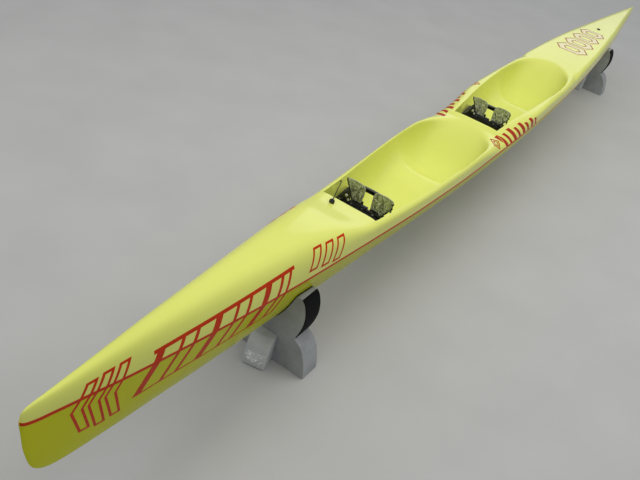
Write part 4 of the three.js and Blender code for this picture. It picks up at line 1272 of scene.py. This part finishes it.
# ------------------------------------------------------------------ steering line of the front cockpit
def steering_line():
    x, y, z = 2026.0, -60.0, 587.5
    prof = [(0, -1.2), (8.6, -1.2), (9.0, -0.6), (9.0, 4.6), (9.6, 6.0), (11.6, 7.6), (13.0, 9.8), (13.4, 12.2), (13.0, 15.4), (11.6, 18.4), (9.4, 20.8), (6.8, 22.4), (4.2, 23.3), (4.0, 21.8), (1.6, 21.6), (0, 21.6)]
    P = Parts().add(lathe(prof, (x, y, z), (0, 0, 1), 36), "plastic")
    P.add(barrel(13.0, 2.4, (x, y, z + 2.6), (0, 0, 1), 0.9, 36), "gloss_black")
    P.build("line_fairlead_body", "boat", "black_plastic", ("line_fairlead",))
    lo, hi = cad("line_saddle")
    c = (lo + hi) / 2
    out = np.linspace(0, math.pi, 15)
    P = Parts().add(block(12, 2.4, 8, c[0], lo[1] + 1.0, c[2], 1.0, 3), "plastic")
    arch = [(c[0] + 3.6 * math.cos(q), lo[1] + 1.6 + 3.6 * math.sin(q), c[2]) for q in out]
    P.add(sweep(arch, ring(1.1, 10)), "plastic")
    P.build("line_saddle_eye", "boat", "black_plastic", ("line_saddle",))
    lo, hi = cad("steering_line")
    a = np.array([lo[0] + 1.6, lo[1] + 1.8, lo[2] + 1.8])
    b = np.array([hi[0] - 1.6, hi[1] - 1.8, hi[2] - 1.8])
    pts = np.linspace(b, a, 22)
    P = Parts().add(sweep(pts, ring(2.1, 10)), "braid")
    P.add(sweep(pts[-3:], ring(2.6, 12)), "plastic")
    P.build("steering_line_cover", "boat", "line_cover", ("steering_line",))


steering_line()


# ------------------------------------------------------------------ rudder under the stern
def rudder():
    rx = -2360.0
    top = float(keel_z(rx + 24)) - 0.6
    prof = [(6.9, -6), (20.6, -6), (22.4, -5.5), (23.6, -4.4), (24, -3.2), (24, -1.6), (23.6, -1.2), (13, -1.2), (13, 45), (12.2, 46), (6.9, 46), (6.9, -6)]
    P = Parts().add(lathe(prof, (rx, 0, top), (0, 0, 1), 44), "plastic")
    for k in range(3):
        q = math.radians(90 + 120 * k)
        P.add(cap_screw(2.4, (rx + 18.4 * math.cos(q), 18.4 * math.sin(q), top - 5.9), (0, 0, -1), 1.3, 18), "steel")
    P.build("rudder_bearing_bush", "boat", "black_plastic", ("rudder_bearing",))
    lo, hi = cad("rudder_stock")
    P = Parts().add(barrel(6.0, float(hi[2] - lo[2]), (rx, 0, float(hi[2] + lo[2]) / 2), (0, 0, 1), 0.8, 36), "steel")
    P.build("rudder_stock_shaft", "rudder", "stainless", ("rudder_stock",))
    rows = np.array([[0, 118, 42, 7.2], [60, 116, 39, 6.6], [120, 98, 29, 5.4], [160, 76, 17, 4.2], [182, 52, 4, 2.8]])
    chord, lead, half = [pchip(rows[:, 0], rows[:, k]) for k in (1, 2, 3)]
    z0 = top - 11.5
    c = 0.5 * (1 - np.cos(np.linspace(0, math.pi, 25)))
    th = (0.2969 * np.sqrt(c) - 0.1260 * c - 0.3516 * c ** 2 + 0.2843 * c ** 3 - 0.1015 * c ** 4) / 0.1000 * 0.98
    th[-1] = 0.05
    drops = np.concatenate([[0, 0.5, 1.6], np.linspace(4, 172, 44), 182 - 10 * (1 - np.linspace(0, 1, 9)[1:]) ** 1.7])
    v, f, N = [], [], 2 * len(c) - 2
    for d in drops:
        ch, le, hf = float(chord(d)), float(lead(d)), float(half(d))
        k = 1.0 if d > 2 else (1 - 0.10 * (1 - d / 2))
        if d > 172:
            r = (d - 172) / 10
            k = math.sqrt(max(0.02, 1 - r ** 2))
        for i in range(len(c)):
            v.append((rx + le - c[i] * ch, hf * th[i] * k, z0 - d))
        for i in range(len(c) - 2, 0, -1):
            v.append((rx + le - c[i] * ch, -hf * th[i] * k, z0 - d))
    for i in range(len(drops) - 1):
        for j in range(N):
            f.append([i * N + j, i * N + (j + 1) % N, (i + 1) * N + (j + 1) % N, (i + 1) * N + j])
    f.append(list(range(N))[::-1])
    f.append([(len(drops) - 1) * N + j for j in range(N)])
    P = Parts().add((v, f), "gloss_black")
    P.add(block(34, 14.6, 9, rx, 0, z0 - 3.6, 3.2, 4), "gloss_black")
    P.add(cap_screw(2.6, (rx - 9, 7.2, z0 - 4.0), (0, 1, 0), 1.6, 18), "steel")
    P.build("rudder_blade_foil", "rudder", "carbon_black", ("rudder_blade",), sharp=50)
    lo, hi = cad("rudder_cap")
    z = float(lo[2])
    prof = [(0, 0), (14.6, 0), (15, 0.4), (15, 7.4), (14.5, 8.6), (13.2, 9.7), (11.4, 10.5), (9.5, 10.8), (9.0, 9.4), (5.6, 9.2), (5.2, 10.9), (0, 11.3)]
    P = Parts().add(lathe(prof, (rx, 0, z), (0, 0, 1), 44), "plastic")
    P.build("rudder_cap_plug", "boat", "black_plastic", ("rudder_cap",))


rudder()


# ------------------------------------------------------------------ foam cradles
CRADLE_X, BRACE_TURN = {"front": 2431.0, "rear": -2606.0}, {"front": 13.0, "rear": 0.0}
# outline of one side from the floor up: y, z
CRADLE_OUTER = [[243, 0], [238, 40], [225, 92], [207, 138], [186, 167], [152, 187.5], [165, 226], [175, 268], [178, 306], [173, 352], [158, 392], [140, 410.5]]
BRACE_OUTER = [[160, 0], [157, 40], [147, 92], [129, 125], [100, 148]]


def ring_of(segments, r):
    """Closed outline from polylines that meet at corners, each corner rounded."""
    cut = []
    for pts, n in segments:
        L = length(pts)
        t = min(r, 0.4 * L)
        cut.append(along(pts, at=np.linspace(t, L - t, n)))
    out = []
    for k, a in enumerate(cut):
        p0, p2, c = a[-1], cut[(k + 1) % len(cut)][0], np.asarray(segments[k][0][-1], float)
        out.append(a)
        out.append(np.array([(1 - t) ** 2 * p0 + 2 * t * (1 - t) * c + t * t * p2 for t in (0.2, 0.4, 0.6, 0.8)]))
    return np.concatenate(out)


def inset(P, d):
    t = np.roll(P, -1, 0) - np.roll(P, 1, 0)
    t /= np.linalg.norm(t, axis=1)[:, None]
    return P + np.stack([-t[:, 1], t[:, 0]], 1) * d


def slab(ring_at, x0, x1, r, steps, place, rough=0.0, tight=None):
    """Slab with rounded edges between x0 and x1; ring_at(x) is its outline there, place(x, u, v) the point."""
    phi = np.linspace(0, math.pi / 2, 6)
    rows = [(x0, r + 0.5)] + [(x0 + r * (1 - math.cos(q)), r * (1 - math.sin(q))) for q in phi]
    rows += [(x, 0.0) for x in np.linspace(x0 + r, x1 - r, steps + 1)[1:-1]]
    rows += [(x1 - r * (1 - math.cos(q)), r * (1 - math.sin(q))) for q in phi[::-1]] + [(x1, r + 0.5)]
    v, f = [], []
    for x, d in rows:
        R = ring_at(x)
        hold = np.array([0.12 if tight is not None and tight(x, u, w) else 1.0 for u, w in R])
        hold = np.convolve(np.concatenate([hold[-3:], hold, hold[:3]]), np.ones(7) / 7, mode="valid")
        R = inset(R, d * hold[:, None])
        for u, w in R:
            if rough:
                s = rough * (math.sin(u * 0.043 + x * 0.031) + math.sin(w * 0.051 - x * 0.047 + 1.3) + 0.6 * math.sin((u + w) * 0.11 + x * 0.09))
                u, w = u + s * 0.5, w + (s * 0.5 if w > 12 else 0)
            v.append(place(x, u, w))
    N = len(R)
    for i in range(len(rows) - 1):
        for j in range(N):
            f.append([i * N + j, i * N + (j + 1) % N, (i + 1) * N + (j + 1) % N, (i + 1) * N + j])
    f.append(list(range(N))[::-1])
    f.append([(len(rows) - 1) * N + j for j in range(N)])
    return v, f


def grown_hull(x, grow, z_top):
    """Hull section grown outwards, from z_top on the port side under the keel to z_top on the starboard side."""
    a = np.linspace(0, math.pi / 2, 500)
    y = (half_beam(x) + grow) * np.cos(a) ** (2 / hull_ac(x))
    z = seam_z(x) - (seam_z(x) - keel_z(x) + grow) * np.sin(a) ** (2 / hull_dn(x))
    k = z < z_top
    half = np.vstack([[[np.interp(-z_top, -z, y), z_top]], np.stack([y[k], z[k]], 1)])
    half[-1, 0] = 0
    return np.vstack([half, (half * [-1, 1])[::-1][1:]])


def arm_outline(sign):
    return spline(CRADLE_OUTER[5:], 8) * [sign, 1]


def cradle(name):
    cx, turn = CRADLE_X[name], math.tan(BRACE_TURN[name] * D2R)
    foot = spline(CRADLE_OUTER[:6], 8)
    arm = arm_outline(1)
    mir = lambda P: (np.asarray(P, float) * [-1, 1])[::-1]
    wide, high = 54.5 / math.cos(BRACE_TURN[name] * D2R), 148.5

    def outline(x):
        cut = grown_hull(x, 4.7, 410.5)
        yc = (x - cx) * turn
        top = np.array([[140, 410.5], cut[0]])
        segs = [(np.array([[yc + wide, 0], [243, 0]]), 12), (foot, 42), (arm, 52), (top, 4), (cut, 90), (mir(top), 4), (mir(arm), 52), (mir(foot), 42),
                (np.array([[-243, 0], [yc - wide, 0]]), 12), (np.array([[yc - wide, 0], [yc - wide, high]]), 12),
                (np.array([[yc - wide, high], [yc + wide, high]]), 10), (np.array([[yc + wide, high], [yc + wide, 0]]), 12)]
        return ring_of(segs, 6.5)
    in_slot = lambda x, u, w: w < high + 1 and abs(u - (x - cx) * turn) < wide + 1 and w > 1.0
    P = Parts().add(slab(outline, cx - 55.5, cx + 55.5, 2.2, 10, lambda x, u, w: (x, u, w), 0.35, in_slot), "foam")
    P.build(f"{name}_cradle_foam", "boat", "foam_block", (f"{name}_cradle",), sharp=60)

    # brace through the slot
    c, s = math.cos(BRACE_TURN[name] * D2R), math.sin(BRACE_TURN[name] * D2R)
    side = spline(BRACE_OUTER, 8)
    segs = [(np.array([[-160, 0], [160, 0]]), 40), (side, 26), (np.array([[100, 148], [-100, 148]]), 30), (mir(side), 26)]
    R = ring_of(segs, 10)

    def place(t, u, w):
        return (cx + u * c - t * s, u * s + t * c, w)
    # the brace's foam is painted lighter than the cradle's, as painted light
    P = Parts().add(slab(lambda t: R, -54, 54, 5.2, 10, place, 0.45), "foam_brace_painted_light")
    if name == "front":
        # strip of clear tape wrapped over the near end
        G = 34
        zz = np.linspace(30, 80, 24)
        tt = np.linspace(-50, 50, G)
        E = np.array(BRACE_OUTER, float)
        v, f = [], []
        for off in (1.0, -0.4):
            for i, z in enumerate(zz):
                for j, t in enumerate(tt):
                    ragged = 2.2 * math.sin(t * 0.21) + 1.4 * math.sin(t * 0.53 + 1) if i in (0, len(zz) - 1) else 0
                    h = z + ragged
                    u = float(np.interp(h, E[:, 1], E[:, 0])) + off
                    if off > 0:
                        u += 0.9 * math.sin(t * 0.33 + h * 0.21) * math.sin(h * 0.42 - t * 0.13) + 0.7 * abs(math.sin(h * 0.37 + t * 0.29)) + 0.4 * math.sin(h * 0.9 + t * 0.7)
                    u -= 0.035 * max(0, abs(t) - 42) ** 2 * 0.6
                    v.append(place(t, u, h))
        K = len(zz) * G
        for i in range(len(zz) - 1):
            for j in range(G - 1):
                a, b, d, e = i * G + j, i * G + j + 1, (i + 1) * G + j + 1, (i + 1) * G + j
                f += [[a, b, d, e], [K + a, K + e, K + d, K + b]]
        rim = [(0, j) for j in range(G)] + [(i, G - 1) for i in range(1, len(zz))] + [(len(zz) - 1, j) for j in range(G - 2, -1, -1)] + [(i, 0) for i in range(len(zz) - 2, 0, -1)]
        for (i, j), (k, l) in zip(rim, rim[1:] + rim[:1]):
            f.append([i * G + j, k * G + l, K + k * G + l, K + i * G + j])
        P.add((v, f), "tape")
    P.build(f"{name}_brace_foam", "boat", "foam_block", (f"{name}_cradle_brace",), sharp=60)

    # lining under the hull and bands down the outside of the arms
    def lining(x):
        lo, up = grown_hull(x, 4.3, 408.5), grown_hull(x, 0.4, 408.5)
        return ring_of([(lo[::-1], 90), (np.array([lo[0], up[0]]), 2), (up, 90), (np.array([up[-1], lo[-1]]), 2)], 0.9)
    P = Parts().add(slab(lining, cx - 54.5, cx + 54.5, 0.8, 12, lambda x, u, w: (x, u, w)), "foam_dark")
    P.build(f"{name}_saddle_lining", "boat", "foam_lining", (f"{name}_saddle_pad",), sharp=50)
    for sd, sign in (("port", 1), ("starboard", -1)):
        A = arm_outline(1)
        k = (A[:, 1] > 193) & (A[:, 1] < 409)
        A = A[k]
        t = np.gradient(A, axis=0)
        t /= np.linalg.norm(t, axis=1)[:, None]
        n = np.stack([t[:, 1], -t[:, 0]], 1)
        inner, outer = A + n * 0.5, A + n * 3.4
        R = ring_of([(outer, 60), (np.array([outer[-1], inner[-1]]), 2), (inner[::-1], 60), (np.array([inner[0], outer[0]]), 2)], 0.9)
        P = Parts().add(slab(lambda x, R=R: R, cx - 55, cx + 55, 0.8, 10, lambda x, u, w, sign=sign: (x, u * sign, w)), "foam_dark")
        P.build(f"{name}_arm_band_{sd}", "boat", "foam_lining", (f"{name}_arm_pad_{sd}",), sharp=50)


cradle("front")
cradle("rear")


# ------------------------------------------------------------------ vinyl marks: plain bars, frames and chevrons
def up_along(a, b, t):
    return a + (b - a) * t


def frame_bar(x0, x1, wide, w_lo, w_hi, pen):
    """Outline of a slanted bar whose foot is centred on x0 at w_lo and whose head is centred on x1 at w_hi."""
    return stroke([(x0 + wide / 2, w_lo), (x1 + wide / 2, w_hi), (x1 - wide / 2, w_hi), (x0 - wide / 2, w_lo)], pen)


def marks():
    for side, s in (("port", 1), ("starboard", -1)):
        place = lambda x, w, s=s: skin(x, w, s)
        # bow band: a rail along the top, slanted bars hanging from it, their feet on a thin line
        hi = lambda x: np.interp(x, [2581, 3290], [116, 59])
        lo = lambda x: np.interp(x, [2500, 2737, 3373], [-110, -118, -149])
        rail = [[(x, hi(x)), (x - 89, hi(x - 89)), (x - 89, hi(x - 89) - 17), (x, hi(x) - 17)] for x in np.linspace(3290, 2670, 8)]
        polys = list(rail)
        for head, slant, wide in ((3258, 74, 34), (3160, 70, 17), (3092, 68, 17), (2992, 66, 34), (2896, 62, 17), (2828, 60, 17), (2730, 56, 34), (2650, 50, 17), (2602, 48, 15)):
            top, foot = hi(head) - 12, lo(head + slant)
            polys.append([(head - wide / 2, top), (head + wide / 2, top), (head + slant + wide / 2, foot), (head + slant - wide / 2, foot)])
        line = [[(x, lo(x)), (x, lo(x) + 8), (x - 84, lo(x - 84) + 8), (x - 84, lo(x - 84))] for x in np.linspace(3340, 2730, 8)]
        polys += line
        decal(f"bow_marks_{side}", polys, place, "red")
        # double chevron ahead of it
        ch = []
        for x, up, dn in ((3384, 74, -180), (3446, 66, -186), (3508, 54, -170)):
            ch += stroke([(x, up), (x + 34, up - 4), (x + 88, -50), (x + 46, dn), (x + 12, dn), (x + 50, -50)], 10)
        decal(f"bow_chevrons_{side}", ch, place, "red")
        # three small open bars above the seam ahead of the front cockpit
        sm = []
        for x, wide in ((2448, 46), (2366, 46), (2284, 46)):
            t = (2479 - x) / 259
            a, b = 42 - 31 * t, 144 - 16 * t
            sm += frame_bar(x + 8, x - 26, wide, a + 6, b - 6, 10)
        decal(f"small_bars_{side}", sm, place, "red")
        # bars beside the rear cockpit, leaning forward, and a lozenge: ahead of them to port, behind them to starboard
        rb = []
        first, pitch, count, at = (432.0, 71, 8, 550) if s > 0 else (474.0, 65, 8, -92)
        for k in range(count):
            x, wide = first - pitch * k, 38.0 if k % 2 == 0 else 30.0
            a, b = 8.0, float(np.interp(x, [-60, 446], [80, 106])) - (0 if k % 2 == 0 else 14)
            rb.append([(x + wide / 2, a), (x - wide / 2, a), (x + 50 - wide / 2, b), (x + 50 + wide / 2, b)])
        decal(f"rear_bars_{side}", rb, place, "red_side", step_x=7, step_w=3.5)
        d = stroke([(at + 46, 72), (at, 116), (at - 46, 72), (at, 28)], 9) + stroke([(at + 23, 72), (at, 94), (at - 23, 72), (at, 50)], 8)
        decal(f"rear_lozenge_{side}", d, place, "red_side", step_x=7, step_w=3.5)
    # open hexagons on the aft deck, pale between their outlines
    az, fill = [], []
    for x, y, r, h in ((-1540, 4, 84, 130), (-1742, 3, 82, 124), (-1944, 2, 80, 116), (-2146, 0, 78, 108)):
        hexa = lambda k, g: [(x + r * k, y - h * g * 0.62), (x + r * k, y + h * g * 0.62), (x, y + h * g),
                             (x - r * k, y + h * g * 0.62), (x - r * k, y - h * g * 0.62), (x, y - h * g)]
        az += stroke(hexa(1.0, 1.0), 10) + stroke(hexa(0.46, 0.52), 9)
        fill += stroke(hexa(0.73, 0.76), 0.44 * r)
    decal("aft_marks", az, top_skin, "red_faded")
    decal("aft_mark_fill", fill, top_skin, "cream")


marks()

# ------------------------------------------------------------------ floor and light
def stage():
    me = bpy.data.meshes.new("floor")
    me.from_pydata([(-30, -30, 0), (30, -30, 0), (30, 30, 0), (-30, 30, 0)], [], [(0, 1, 2, 3)])
    m = Mat("floor_plain")
    n = m.noise(2.2, 3, 0.5)
    m.set(color=m.mix(m.span(n, 0, 1, 0.3, 0.7), (0.47, 0.47, 0.467), (0.50, 0.50, 0.497)), rough=0.8)
    me.materials.append(m.m)
    floor = bpy.data.objects.new("floor", me)
    bpy.context.scene.collection.objects.link(floor)
    w = bpy.data.worlds.new("studio")
    w.use_nodes = True
    t = w.node_tree
    bg = t.nodes["Background"]
    co = t.nodes.new("ShaderNodeTexCoord").outputs["Generated"]
    sep = t.nodes.new("ShaderNodeSeparateXYZ")
    t.links.new(co, sep.inputs[0])
    up = t.nodes.new("ShaderNodeValToRGB")
    t.links.new(sep.outputs[2], up.inputs[0])
    e = up.color_ramp.elements
    for p, c in ((0.0, 0.50), (0.22, 0.70), (0.60, 1.0)):
        k = e[0] if p == 0 else (e[1] if p == 0.22 else e.new(p))
        k.position, k.color = p, (c * 0.985, c, c * 1.02, 1)
    t.links.new(up.outputs[0], bg.inputs[0])
    bg.inputs[1].default_value = DOME
    bpy.context.scene.world = w

    def area(name, at, to, size, power, colour=(1, 1, 1)):
        d = bpy.data.lights.new(name, "AREA")
        d.shape = "RECTANGLE"
        d.size, d.size_y = size
        d.energy = power
        d.color = colour
        o = bpy.data.objects.new(name, d)
        o.location = at
        o.rotation_euler = (Vector(to) - Vector(at)).to_track_quat("-Z", "Y").to_euler()
        o.visible_glossy = False
        bpy.context.scene.collection.objects.link(o)
        return o

    area("key", (0.9, 0.8, 6.0), (0.2, 0, 0.4), (10.5, 4.5), KEY, (1.0, 0.99, 0.96))
    area("rear", (-11.0, -2.8, 4.6), (0, 0, 0.5), (7.0, 5.0), REAR, (0.98, 1.0, 1.0)).visible_glossy = True


DOME, KEY, REAR = 0.45, 275, 105
bpy.context.scene.view_settings.view_transform = "Standard"
stage()
